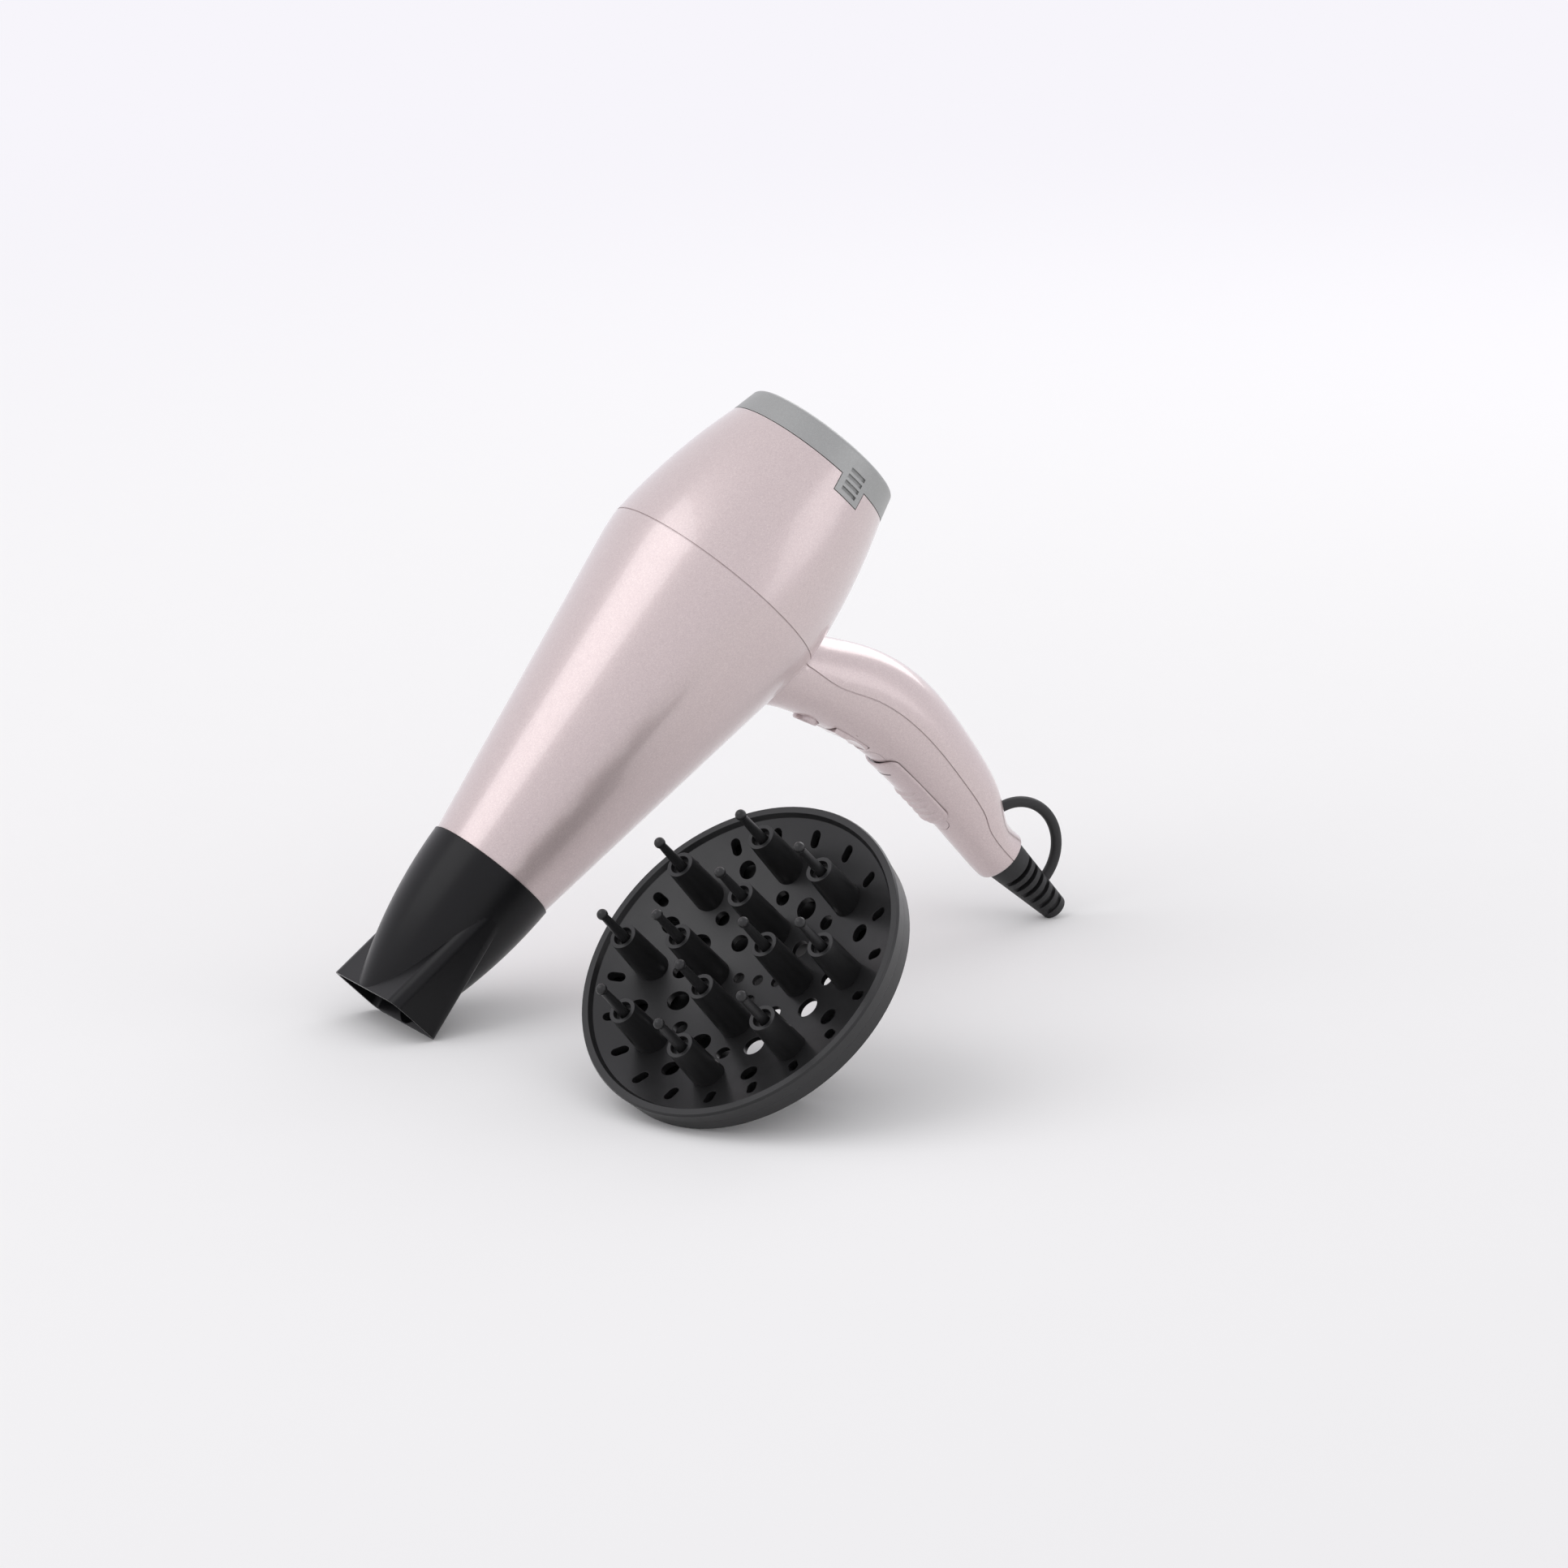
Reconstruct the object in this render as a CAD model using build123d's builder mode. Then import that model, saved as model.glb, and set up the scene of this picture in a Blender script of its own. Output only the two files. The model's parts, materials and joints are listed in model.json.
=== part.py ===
from build123d import *
import os
from math import asin, atan2, cos, hypot, radians, sin, sqrt

os.makedirs("parts", exist_ok=True)

# Every length is in millimetres and every angle in degrees.
# The dryer is drawn by two distances in its plane of symmetry:
# s runs along the barrel from the nozzle's edge to the rear, q runs from the barrel's axis to the handle.

# Reach of cuts that go right through, longer than the dryer
FAR = 300.0

# Barrel and rear housing
WALL = 2.2
BARREL_FRONT_R = 26.0
CONE_END_S = 124.0
CONE_END_R = 45.4
SEAM_S = 139.4
SEAM_R = 47.0
REAR_MID_S = 169.0
REAR_MID_R = 43.1
REAR_END_S = 198.0
REAR_END_R = 35.7
NOSE_LENGTH = 14.0
NOSE_R = 24.0
NOSE_WALL = 1.8
LIP_R = 32.2
LIP_LENGTH = 4.5
LIP_WALL = 1.8
SEAM_GROOVE = 0.5
NECK_FILLET_R = 3.0
NECK_SLOPE = 0.2

# Handle: centre of each section in s and q, its lean, its half depth and its half width
HANDLE_STATIONS = (
    (129.0, 30.0, 22.0, 16.4, 16.4),
    (135.5, 47.0, 22.0, 16.2, 16.2),
    (141.6, 62.5, 21.0, 16.4, 16.0),
    (147.6, 78.8, 16.0, 18.2, 16.0),
    (151.4, 97.0, 5.0, 18.8, 16.2),
    (151.6, 115.5, -2.0, 18.1, 16.2),
    (149.6, 135.4, -7.0, 16.7, 15.4),
    (146.2, 155.8, -9.0, 14.5, 13.6),
    (141.6, 181.5, 0.0, 10.8, 10.8),
)
HANDLE_END_WALL = 3.0

# Cord guard and hanging loop
GUARD_LENGTH = 37.5
GUARD_ROOT_R = 9.2
GUARD_TIP_R = 5.2
GUARD_TIP_FILLET = 1.2
GUARD_NECK_R = 6.4
GUARD_FLANGE_R = 7.8
GUARD_FLANGE_T = 2.4
CORD_BORE_R = 3.5
GUARD_SLOT_COUNT = 6
GUARD_SLOT_PITCH = 4.6
GUARD_SLOT_HEIGHT = 2.2
GUARD_CORE_R = 4.4
GUARD_RAIL_HALF = 3.2
LOOP_WIRE_R = 2.2
LOOP_ROOT_S = 13.5
LOOP_ROOT_RISE = 13.5
LOOP_REACH = 25.4
LOOP_REACH_DROP = 4.5
LOOP_TIP_S = 4.5
LOOP_TIP_DROP = 24.0

# Concentrator nozzle
NOZZLE_LENGTH = 66.0
NOZZLE_EDGE_R = 26.6
NOZZLE_WAIST_S = -38.0
NOZZLE_WAIST_R = 21.6
NOZZLE_WALL = 1.7
MOUTH_WIDTH = 50.4
MOUTH_DEPTH = 26.0
MOUTH_CORNER_R = 4.5
FAN_TAIL_S = -11.0
FAN_TAIL_DEPTH = 9.6

# Rear cap
CAP_BACK_S = 209.4
CAP_BACK_R = 32.9
CAP_SHELF_S = 204.0
CAP_SHELF_T = 2.0
CAP_SHELF_R = 28.6
CAP_EDGE_R = 2.2
TAB_REACH = 7.0
TAB_WIDTH = 13.0
TAB_T = 1.9
TAB_NOTCH_DEPTH = 3.3
TAB_SLOT_COUNT = 4
TAB_SLOT_PITCH = 2.7
TAB_SLOT_WIDTH = 1.5
TAB_SLOT_LENGTH = 8.0
TAB_SLOT_DEPTH = 1.2
GRILLE_R = 30.4
GRILLE_T = 1.4
GRILLE_RISE = 1.6
GRILLE_FLAT_R = 26.4
GRILLE_HOLE_R = 1.75
GRILLE_RING_PITCH = 5.4
GRILLE_RINGS = 4
GRILLE_RING_HOLES = 6
FILTER_R = 32.0
FILTER_RIM_T = 0.8
FILTER_RIM_WIDTH = 2.6
GAUZE_T = 0.3

# Clearances between pieces that move against each other
RUN_GAP = 0.06
SIDE_GAP = 0.4
FACE_GAP = 0.15
EDGE_GAP = 0.3

# Fan and motor
FAN_R = 33.4
FAN_HUB_R = 13.0
FAN_FRONT_S = 164.6
FAN_HUB_LENGTH = 13.0
FAN_NOSE_RISE = 5.0
FAN_BLADES = 9
BLADE_ROOT_CHORD = 13.0
BLADE_TIP_CHORD = 15.0
BLADE_ROOT_T = 1.8
BLADE_TIP_T = 1.1
BLADE_ROOT_PITCH = 48.0
BLADE_TIP_PITCH = 30.0
SHAFT_R = 1.15
SHAFT_FRONT_S = 122.5
MOTOR_R = 14.5
MOTOR_FRONT_S = 128.0
MOTOR_LENGTH = 32.0
MOTOR_WALL = 1.1
BUSH_R = 3.0
BUSH_LENGTH = 3.4
MAGNET_T = 2.0
MAGNET_LENGTH = 22.0
MAGNET_GAP_ANGLE = 50.0
ARMATURE_R = 10.6
ARMATURE_LENGTH = 20.0
ARMATURE_SLOTS = 5
ARMATURE_SLOT_WIDTH = 2.4
ARMATURE_SLOT_DEPTH = 5.0
END_CAP_T = 3.0
END_CAP_PLUG = 1.2
TERMINAL_SIZE = (4.8, 0.8, 6.0)
TERMINAL_OFFSET = 8.0

# Air duct
DUCT_R = 36.0
DUCT_WALL = 1.6
DUCT_REAR_S = 186.0
DUCT_CONE_REAR_S = 146.0
DUCT_CONE_FRONT_S = 120.0
DUCT_COLLAR_LENGTH = 10.0
CUP_WALL = 1.5
CUP_LENGTH = 24.0
VANES = 7
VANE_T = 1.4
VANE_LENGTH = 12.0
DUCT_RIB_T = 2.0
DUCT_RIB_S = (150.0, 177.0)

# Heater
SLEEVE_R = 25.0
SLEEVE_T = 0.8
SLEEVE_REAR_S = 118.0
HEATER_FRONT_S = 14.0
HEATER_LENGTH = 90.0
HEATER_BOARD_T = 0.8
HEATER_BOARD_HALF = 17.15
HEATER_END_LENGTH = 3.0
HEATER_RING_R = 21.0
HEATER_RING_T = 1.2
COIL_START = 7.0
COIL_TURNS = 10
COIL_PITCH = 7.6
RIBBON_T = 0.7
RIBBON_WIDTH = 1.6
THERMOSTAT_SIZE = (11.0, 10.0, 4.0)
THERMOSTAT_S = 90.0
THERMOSTAT_Q = 8.0
OUTLET_T = 3.0
OUTLET_RIM_WIDTH = 3.0
OUTLET_RING_R = 12.0
OUTLET_RING_WIDTH = 2.0
OUTLET_HUB_R = 3.2
OUTLET_SPOKES = 6
OUTLET_SPOKE_T = 1.3
GUARD_RING_R = 33.3
GUARD_RING_T = 2.2
GUARD_RING_WIDTH = 3.4
GUARD_RING_MID_R = 18.0
GUARD_SPOKES = 8

# Controls on the front of the handle
PLATE_S = 138.0
PLATE_Q = 125.3
PLATE_LENGTH = 51.0
PLATE_WIDTH = 15.0
PLATE_CORNER_R = 3.5
PLATE_GAP = 0.2
PAD_MARGIN = 2.4
LEDGE_T = 2.0
LEDGE_WIDTH = 2.6
SLIDER_LENGTH = 28.0
SLIDER_HALF = 4.9
SLIDER_Q = 126.5
SLIDER_TRAVEL = 5.0
SLIDER_TOP_S = 132.2
SLIDER_RIBS = 5
SLIDER_RIB_HEIGHT = 1.0
SLIDER_CROWN_R = 14.0
SLIDER_CROWN_DROP = 0.3
TRACK_FLOOR_S = 135.2
STEM_LENGTH = 5.0
STEM_HALF = 1.4
STEM_END_S = 143.0
ROCKER_S = 131.6
ROCKER_Q = 88.6
ROCKER_LEAN = 10.0
ROCKER_HALF_LENGTH = 8.6
ROCKER_HALF_WIDTH = 6.8
ROCKER_PIVOT_DEPTH = 4.0
ROCKER_TOP = 0.9
ROCKER_SCOOP = 1.5
ROCKER_BOTTOM = 6.0
ROCKER_LEG_HALF = 1.2
ROCKER_LEG_END = 9.6
ROCKER_LEG_WIDTH = 1.8
ROCKER_PIN_R = 1.5
ROCKER_PIN_LENGTH = 1.9
ROCKER_END_GAP = 0.7
CHEEK_T = 2.4
CHEEK_HALF = 4.0
CHEEK_DEPTH = 7.0
BUTTON_S = 126.9
BUTTON_Q = 70.0
BUTTON_LEAN = 18.0
BUTTON_R = 5.2
BUTTON_RISE = 1.6
BUTTON_EDGE_R = 0.9
BUTTON_FLANGE_R = 6.8
BUTTON_FLANGE_TOP = 4.3
BUTTON_FLANGE_T = 1.4
BUTTON_STEM_R = 1.6
BUTTON_STEM_END = 10.2
BUTTON_TRAVEL = 1.8

# Switch board, switches, cord clamp and screws
BOARD_S = 146.0
BOARD_T = 1.6
BOARD_TOP_Q = 57.0
BOARD_END_Q = 149.0
BOARD_HALF_WIDTH = 9.0
POST_R = 1.8
POST_SPACING_Q = 43.5
POST_SPACING_Y = 14.4
SLIDE_SWITCH_LENGTH = 22.0
SLIDE_SWITCH_HALF = 4.5
SLIDE_SWITCH_S = 141.2
SWITCH_FLOOR = 0.8
ROCKER_SWITCH_S = 139.5
ROCKER_SWITCH_HALF = 6.0
ROCKER_SWITCH_WELL = 3.6
BUTTON_SWITCH_TOP = 9.6
BUTTON_SWITCH_HALF = 4.0
BUTTON_SWITCH_WELL_R = 2.1
CLAMP_Q = 164.0
CLAMP_LENGTH = 6.0
CLAMP_HALF_WIDTH = 8.0
CLAMP_BASE_S = 140.4
CLAMP_T = 6.2
CLAMP_SCREW_Y = 5.8
CLAMP_SCREW_R = 1.2
CLAMP_SCREW_LENGTH = 12.0
CLAMP_HEAD_R = 2.1
CLAMP_HEAD_T = 1.5
SHELL_SCREW_Q = (100.6, 154.6)
SHELL_SCREW_R = 1.4
SHELL_SCREW_HEAD_R = 2.8
SHELL_SCREW_HEAD_T = 1.8
SHELL_SCREW_BITE = 9.0
BOSS_R = 3.3
BOSS_REAR_R = 4.8
BOSS_FLOOR = 6.0

# Diffuser: depth runs from the rim's front edge to the collar
DIFFUSER_R = 66.0
DIFFUSER_BACK_R = 64.4
DIFFUSER_PARTING = 6.0
DIFFUSER_BAND = 12.0
DIFFUSER_DEPTH = 50.0
DIFFUSER_WALL = 2.0
DISH_DEPTH = 15.0
COLLAR_R = 27.2
COLLAR_LENGTH = 11.0
COLLAR_BORE_R = 24.4
BELL_SLOPE = 0.3
BELL_THROAT_R = 21.0
FINGERS_OUTER = 8
FINGERS_OUTER_R = 44.2
FINGERS_OUTER_TURN = 10.5
FINGERS_INNER = 4
FINGERS_INNER_R = 19.6
FINGERS_INNER_TURN = 8.0
FINGER_BASE_R = 6.3
FINGER_TOP_R = 5.2
FINGER_STEP = 13.0
FINGER_CUP_R = 3.7
FINGER_CUP_DEPTH = 2.5
FINGER_HEIGHT = 30.0
FINGER_PIN_R = 1.5
FINGER_BALL_R = 2.1
SLOT_HOLES = 20
SLOT_HOLES_R = 55.5
SLOT_HOLE_LENGTH = 6.4
SLOT_HOLE_WIDTH = 3.8
RIM_HOLES_R = 46.0
RIM_HOLE_R = 3.4
WIDE_HOLES_R = 31.5
WIDE_HOLE_R = 4.2
MID_HOLES_R = 33.0
MID_HOLE_R = 2.8
INNER_HOLE_R = 3.4
CENTRE_HOLES_R = 8.6
CENTRE_HOLE_R = 2.2

# Where the dryer and the diffuser stand: middle of the nozzle's lower edge, and middle of the diffuser's rim
STAND_X = -138.6
STAND_Y = 81.6
DIFFUSER_X = -77.9
DIFFUSER_Y = -64.4
DIFFUSER_TURN = -162.8

# Lean of the barrel: the dryer stands on the nozzle's lower edge and on the rounded edge of the guard's tip
handle_end_s = HANDLE_STATIONS[-1][0]
handle_end_q = HANDLE_STATIONS[-1][1]
guard_end_q = handle_end_q + GUARD_LENGTH
guard_taper = (GUARD_ROOT_R - GUARD_TIP_R) / GUARD_LENGTH
foot_r = GUARD_TIP_R + GUARD_TIP_FILLET * (guard_taper - hypot(1, guard_taper))
foot_ds = handle_end_s - foot_r + NOZZLE_LENGTH
foot_dq = guard_end_q - GUARD_TIP_FILLET - MOUTH_DEPTH / 2
lean = atan2(foot_dq, foot_ds) + asin(GUARD_TIP_FILLET / hypot(foot_ds, foot_dq))

rearward = Vector(cos(lean), 0, sin(lean))
handleward = Vector(sin(lean), 0, -cos(lean))
stand = Vector(STAND_X, STAND_Y, 0)
side = Plane(
    origin=stand + rearward * NOZZLE_LENGTH - handleward * (MOUTH_DEPTH / 2),
    x_dir=rearward,
    z_dir=(0, 1, 0),
)
barrel_axis = Axis(side.origin, rearward)


def at(s, q, y=0.0):
    """Point of the dryer at s along the barrel, q toward the handle and y sideways."""
    return side.from_local_coords((s, q, y))


def across(s):
    """Plane across the barrel at s, its x toward the handle and its y sideways."""
    return Plane(origin=at(s, 0), x_dir=handleward, z_dir=rearward)


def along(s, q, turn=0.0):
    """Plane across the handle at s and q, its z down the handle and its x to the rear."""
    down = rearward * sin(radians(turn)) + handleward * cos(radians(turn))
    rear = rearward * cos(radians(turn)) - handleward * sin(radians(turn))
    return Plane(origin=at(s, q), x_dir=rear, z_dir=down)


def facing(s, q, turn=0.0):
    """Plane of symmetry seen at the handle's front: its x down the handle and its y outward."""
    down = rearward * sin(radians(turn)) + handleward * cos(radians(turn))
    return Plane(origin=at(s, q), x_dir=down, z_dir=(0, 1, 0))


def outward(s, q, turn=0.0):
    """Plane on the handle's front face, its z outward and its x down the handle."""
    face = facing(s, q, turn)
    return Plane(origin=face.origin, x_dir=face.x_dir, z_dir=face.y_dir)


def barrel_form(inset):
    """Round body of the barrel and the rear housing, smaller by the inset."""
    cone_slope = (CONE_END_S, CONE_END_R - BARREL_FRONT_R)
    with BuildPart() as form:
        with BuildSketch(side):
            with BuildLine():
                front = (0, BARREL_FRONT_R - inset)
                cone_end = (CONE_END_S, CONE_END_R - inset)
                seam = (SEAM_S, SEAM_R - inset)
                rear_end = (REAR_END_S, REAR_END_R - inset)
                Line(front, cone_end)
                Spline(cone_end, seam, tangents=(cone_slope, (1, 0)))
                ThreePointArc(seam, (REAR_MID_S, REAR_MID_R - inset), rear_end)
                Polyline(rear_end, (REAR_END_S, 0), (0, 0), front)
            make_face()
        revolve(axis=barrel_axis)
    return form.part


def handle_form(inset):
    """Bent oval body of the handle, smaller by the inset."""
    with BuildPart() as form:
        for s, q, turn, half_depth, half_width in HANDLE_STATIONS:
            with BuildSketch(along(s, q, turn)):
                Ellipse(half_depth - inset, half_width - inset)
        loft()
    return form.part


def body_form(inset):
    """Barrel, rear housing and handle as one body."""
    with BuildPart() as form:
        add(barrel_form(inset))
        add(handle_form(inset))
    return form.part


def ring(s, length, outer_r, inner_r):
    """Plain ring round the barrel's axis, from s to the rear."""
    with BuildPart() as form:
        with BuildSketch(across(s)):
            Circle(outer_r)
            Circle(inner_r, mode=Mode.SUBTRACT)
        extrude(amount=length)
    return form.part


def plug(s, length, radius):
    """Plain round plug on the barrel's axis, from s to the rear."""
    with BuildPart() as form:
        with BuildSketch(across(s)):
            Circle(radius)
        extrude(amount=length)
    return form.part


def front_block(s0, s1, q0, q1, half_width):
    """Block across the handle between two values of s and of q."""
    with BuildPart() as form:
        with BuildSketch(side):
            with BuildLine():
                Polyline((s0, q0), (s1, q0), (s1, q1), (s0, q1), close=True)
            make_face()
        extrude(amount=half_width, both=True)
    return form.part


def cross_rod(s0, s1, q, y, radius):
    """Round rod parallel to the barrel between two values of s."""
    with BuildPart() as form:
        with BuildSketch(Plane(origin=at(s0, q, y), x_dir=handleward, z_dir=rearward)):
            Circle(radius)
        extrude(amount=s1 - s0)
    return form.part


# Front and rear of the parting line: round the barrel at the seam, then down the middle of the handle
parting_points = [(s, q) for s, q, turn, half_depth, half_width in HANDLE_STATIONS[2:]]
with BuildPart() as front_side:
    with BuildSketch(side):
        with BuildLine():
            neck = (SEAM_S, SEAM_R)
            Line((SEAM_S, -FAR), neck)
            Spline(neck, *parting_points, tangents=((NECK_SLOPE, 1), (0, 1)))
            Polyline(parting_points[-1], (handle_end_s, handle_end_q + FAR))
            Polyline(
                (handle_end_s, handle_end_q + FAR),
                (-FAR, handle_end_q + FAR),
                (-FAR, -FAR),
                (SEAM_S, -FAR),
            )
        make_face()
    extrude(amount=FAR, both=True)

# Hollow of the handle, with its end wall left standing
with BuildPart() as handle_hollow:
    add(handle_form(WALL))
    add(
        front_block(0, FAR, handle_end_q - HANDLE_END_WALL, FAR, FAR),
        mode=Mode.SUBTRACT,
    )

# Body of both shells, hollow, with the nose for the nozzle and the lip for the cap
with BuildPart() as shells:
    add(body_form(0))
    neck_edges = shells.edges().filter_by(
        lambda edge: edge.geom_type == GeomType.BSPLINE
        and side.to_local_coords(edge.center()).Y < SEAM_R + NECK_FILLET_R
    )
    fillet(neck_edges, NECK_FILLET_R)
    add(plug(-NOSE_LENGTH, NOSE_LENGTH, NOSE_R))
    add(plug(REAR_END_S, LIP_LENGTH, LIP_R))
    add(barrel_form(WALL), mode=Mode.SUBTRACT)
    add(handle_hollow.part, mode=Mode.SUBTRACT)
    add(plug(-NOSE_LENGTH, NOSE_LENGTH, NOSE_R - NOSE_WALL), mode=Mode.SUBTRACT)
    add(ring(REAR_END_S - WALL, WALL, REAR_END_R - WALL / 2, LIP_R - LIP_WALL))
    add(plug(REAR_END_S - WALL, WALL + LIP_LENGTH, LIP_R - LIP_WALL), mode=Mode.SUBTRACT)

# Cord guard with its slots, and the loop that joins the handle's end to the guard
guard_root = along(handle_end_s, handle_end_q)
guard_axis = Axis(guard_root.origin, handleward)
guard_slot_first = GUARD_LENGTH - GUARD_SLOT_COUNT * GUARD_SLOT_PITCH - GUARD_TIP_FILLET
with BuildPart() as guard_form:
    with BuildSketch(side):
        with BuildLine():
            Polyline(
                (handle_end_s, handle_end_q),
                (handle_end_s + GUARD_ROOT_R, handle_end_q),
                (handle_end_s + GUARD_TIP_R, guard_end_q),
                (handle_end_s, guard_end_q),
                close=True,
            )
        make_face()
    revolve(axis=guard_axis)
    fillet(guard_form.faces().sort_by(guard_axis)[-1].edges(), GUARD_TIP_FILLET)

with BuildPart() as loop_form:
    with BuildLine() as loop_path:
        with BuildLine(side):
            ThreePointArc(
                (handle_end_s + LOOP_ROOT_S, handle_end_q - LOOP_ROOT_RISE),
                (handle_end_s + LOOP_REACH, handle_end_q + LOOP_REACH_DROP),
                (handle_end_s + LOOP_TIP_S, handle_end_q + LOOP_TIP_DROP),
            )
    with BuildSketch(Plane(origin=loop_path.line @ 0, z_dir=loop_path.line % 0)):
        Circle(LOOP_WIRE_R)
    sweep(path=loop_path.line)

with BuildPart() as cord_guard:
    add(guard_form.part)
    for slot in range(GUARD_SLOT_COUNT):
        level = guard_slot_first + slot * GUARD_SLOT_PITCH
        with BuildSketch(guard_root.offset(level)):
            Rectangle(FAR, FAR)
            Rectangle(FAR, 2 * GUARD_RAIL_HALF, mode=Mode.SUBTRACT)
            Circle(GUARD_CORE_R, mode=Mode.SUBTRACT)
        extrude(amount=GUARD_SLOT_HEIGHT, mode=Mode.SUBTRACT)
    add(loop_form.part)
    with BuildSketch(guard_root):
        Circle(GUARD_NECK_R)
    extrude(amount=-HANDLE_END_WALL)
    with BuildSketch(guard_root.offset(-HANDLE_END_WALL)):
        Circle(GUARD_FLANGE_R)
    extrude(amount=-GUARD_FLANGE_T)
    with BuildSketch(guard_root.offset(GUARD_LENGTH)):
        Circle(CORD_BORE_R)
    extrude(amount=-GUARD_LENGTH - HANDLE_END_WALL - GUARD_FLANGE_T, mode=Mode.SUBTRACT)
cord_guard.part.label = "cord_guard"
export_step(cord_guard.part, "parts/cord_guard.step")

# Control openings of the front shell, each drawn on its own part of the handle's front face
rocker_face = facing(ROCKER_S, ROCKER_Q, ROCKER_LEAN)
button_face = outward(BUTTON_S, BUTTON_Q, BUTTON_LEAN)
plate_face = outward(PLATE_S, PLATE_Q)
post_levels = (PLATE_Q - POST_SPACING_Q / 2, PLATE_Q + POST_SPACING_Q / 2)
post_sides = (-POST_SPACING_Y / 2, POST_SPACING_Y / 2)
clamp_top_q = CLAMP_Q - CLAMP_LENGTH / 2
clamp_end_q = CLAMP_Q + CLAMP_LENGTH / 2
clamp_head_s = CLAMP_BASE_S + CLAMP_T


def parting_s(q):
    """Place of the parting line at q, taken between the two nearest handle sections."""
    for (s0, q0), (s1, q1) in zip(parting_points, parting_points[1:]):
        if q0 <= q <= q1:
            return s0 + (s1 - s0) * (q - q0) / (q1 - q0)


with BuildPart() as plate_pad:
    add(handle_form(0))
    with BuildSketch(plate_face.offset(-LEDGE_T)):
        RectangleRounded(
            PLATE_LENGTH + 2 * PAD_MARGIN, PLATE_WIDTH + 2 * PAD_MARGIN, PLATE_CORNER_R + PAD_MARGIN
        )
    extrude(amount=FAR, mode=Mode.INTERSECT)

with BuildPart() as cheeks:
    add(handle_form(0))
    with BuildSketch(rocker_face):
        with Locations((0, -CHEEK_DEPTH / 2)):
            Rectangle(2 * CHEEK_HALF, CHEEK_DEPTH)
    extrude(amount=ROCKER_HALF_WIDTH + SIDE_GAP + CHEEK_T, both=True, mode=Mode.INTERSECT)

with BuildPart() as clamp_base:
    add(handle_form(WALL / 2))
    add(front_block(0, CLAMP_BASE_S, clamp_top_q, clamp_end_q, CLAMP_HALF_WIDTH), mode=Mode.INTERSECT)

with BuildPart() as boss_rods:
    for q in SHELL_SCREW_Q:
        add(cross_rod(0, parting_s(q), q, 0, BOSS_R))
        add(cross_rod(parting_s(q), FAR, q, 0, BOSS_REAR_R))

with BuildPart() as bosses:
    add(handle_form(WALL / 2))
    add(boss_rods.part, mode=Mode.INTERSECT)

with BuildPart() as seam_groove:
    add(front_side.part)
    add(front_side.part.moved(Location(rearward * -SEAM_GROOVE)), mode=Mode.SUBTRACT)
    add(body_form(SEAM_GROOVE), mode=Mode.SUBTRACT)

# Front shell: barrel and front half of the handle
with BuildPart() as front_shell:
    add(shells.part)
    add(plate_pad.part)
    add(cheeks.part)
    add(clamp_base.part)
    add(bosses.part)
    for post_q in post_levels:
        for post_y in post_sides:
            add(cross_rod(PLATE_S, BOARD_S, post_q, post_y, POST_R))
    add(front_side.part, mode=Mode.INTERSECT)
    add(seam_groove.part, mode=Mode.SUBTRACT)
    with BuildSketch(plate_face):
        RectangleRounded(
            PLATE_LENGTH + 2 * PLATE_GAP, PLATE_WIDTH + 2 * PLATE_GAP, PLATE_CORNER_R + PLATE_GAP
        )
    extrude(amount=FAR, mode=Mode.SUBTRACT)
    with BuildSketch(plate_face):
        RectangleRounded(
            PLATE_LENGTH - 2 * LEDGE_WIDTH, PLATE_WIDTH - 2 * LEDGE_WIDTH, PLATE_CORNER_R
        )
    extrude(amount=-LEDGE_T, mode=Mode.SUBTRACT)
    with BuildSketch(rocker_face):
        Rectangle(2 * (ROCKER_HALF_LENGTH + ROCKER_END_GAP), 2 * (CHEEK_DEPTH + FACE_GAP))
    extrude(amount=ROCKER_HALF_WIDTH + SIDE_GAP, both=True, mode=Mode.SUBTRACT)
    with BuildSketch(rocker_face):
        with Locations((0, -ROCKER_PIVOT_DEPTH)):
            Circle(ROCKER_PIN_R + RUN_GAP)
    extrude(amount=ROCKER_HALF_WIDTH + ROCKER_PIN_LENGTH + FACE_GAP, both=True, mode=Mode.SUBTRACT)
    with BuildSketch(button_face):
        Circle(BUTTON_R + SIDE_GAP)
    extrude(amount=2 * WALL, both=True, mode=Mode.SUBTRACT)
    with BuildSketch(along(handle_end_s, clamp_top_q)):
        Circle(CORD_BORE_R)
    extrude(amount=CLAMP_LENGTH, mode=Mode.SUBTRACT)
    for screw_y in (-CLAMP_SCREW_Y, CLAMP_SCREW_Y):
        add(
            cross_rod(clamp_head_s - CLAMP_SCREW_LENGTH, clamp_head_s, CLAMP_Q, screw_y, CLAMP_SCREW_R),
            mode=Mode.SUBTRACT,
        )
    for q in SHELL_SCREW_Q:
        add(
            cross_rod(parting_s(q) - SHELL_SCREW_BITE, FAR, q, 0, SHELL_SCREW_R), mode=Mode.SUBTRACT
        )
    with BuildSketch(guard_root):
        Circle(GUARD_NECK_R)
    extrude(amount=-HANDLE_END_WALL, mode=Mode.SUBTRACT)
front_shell.part.label = "front_shell"
export_step(front_shell.part, "parts/front_shell.step")

# Rear shell: rear housing and rear half of the handle
with BuildPart() as duct_ribs:
    for rib_s in DUCT_RIB_S:
        add(ring(rib_s, DUCT_RIB_T, FAR, DUCT_R))
    add(barrel_form(WALL / 2), mode=Mode.INTERSECT)

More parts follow.
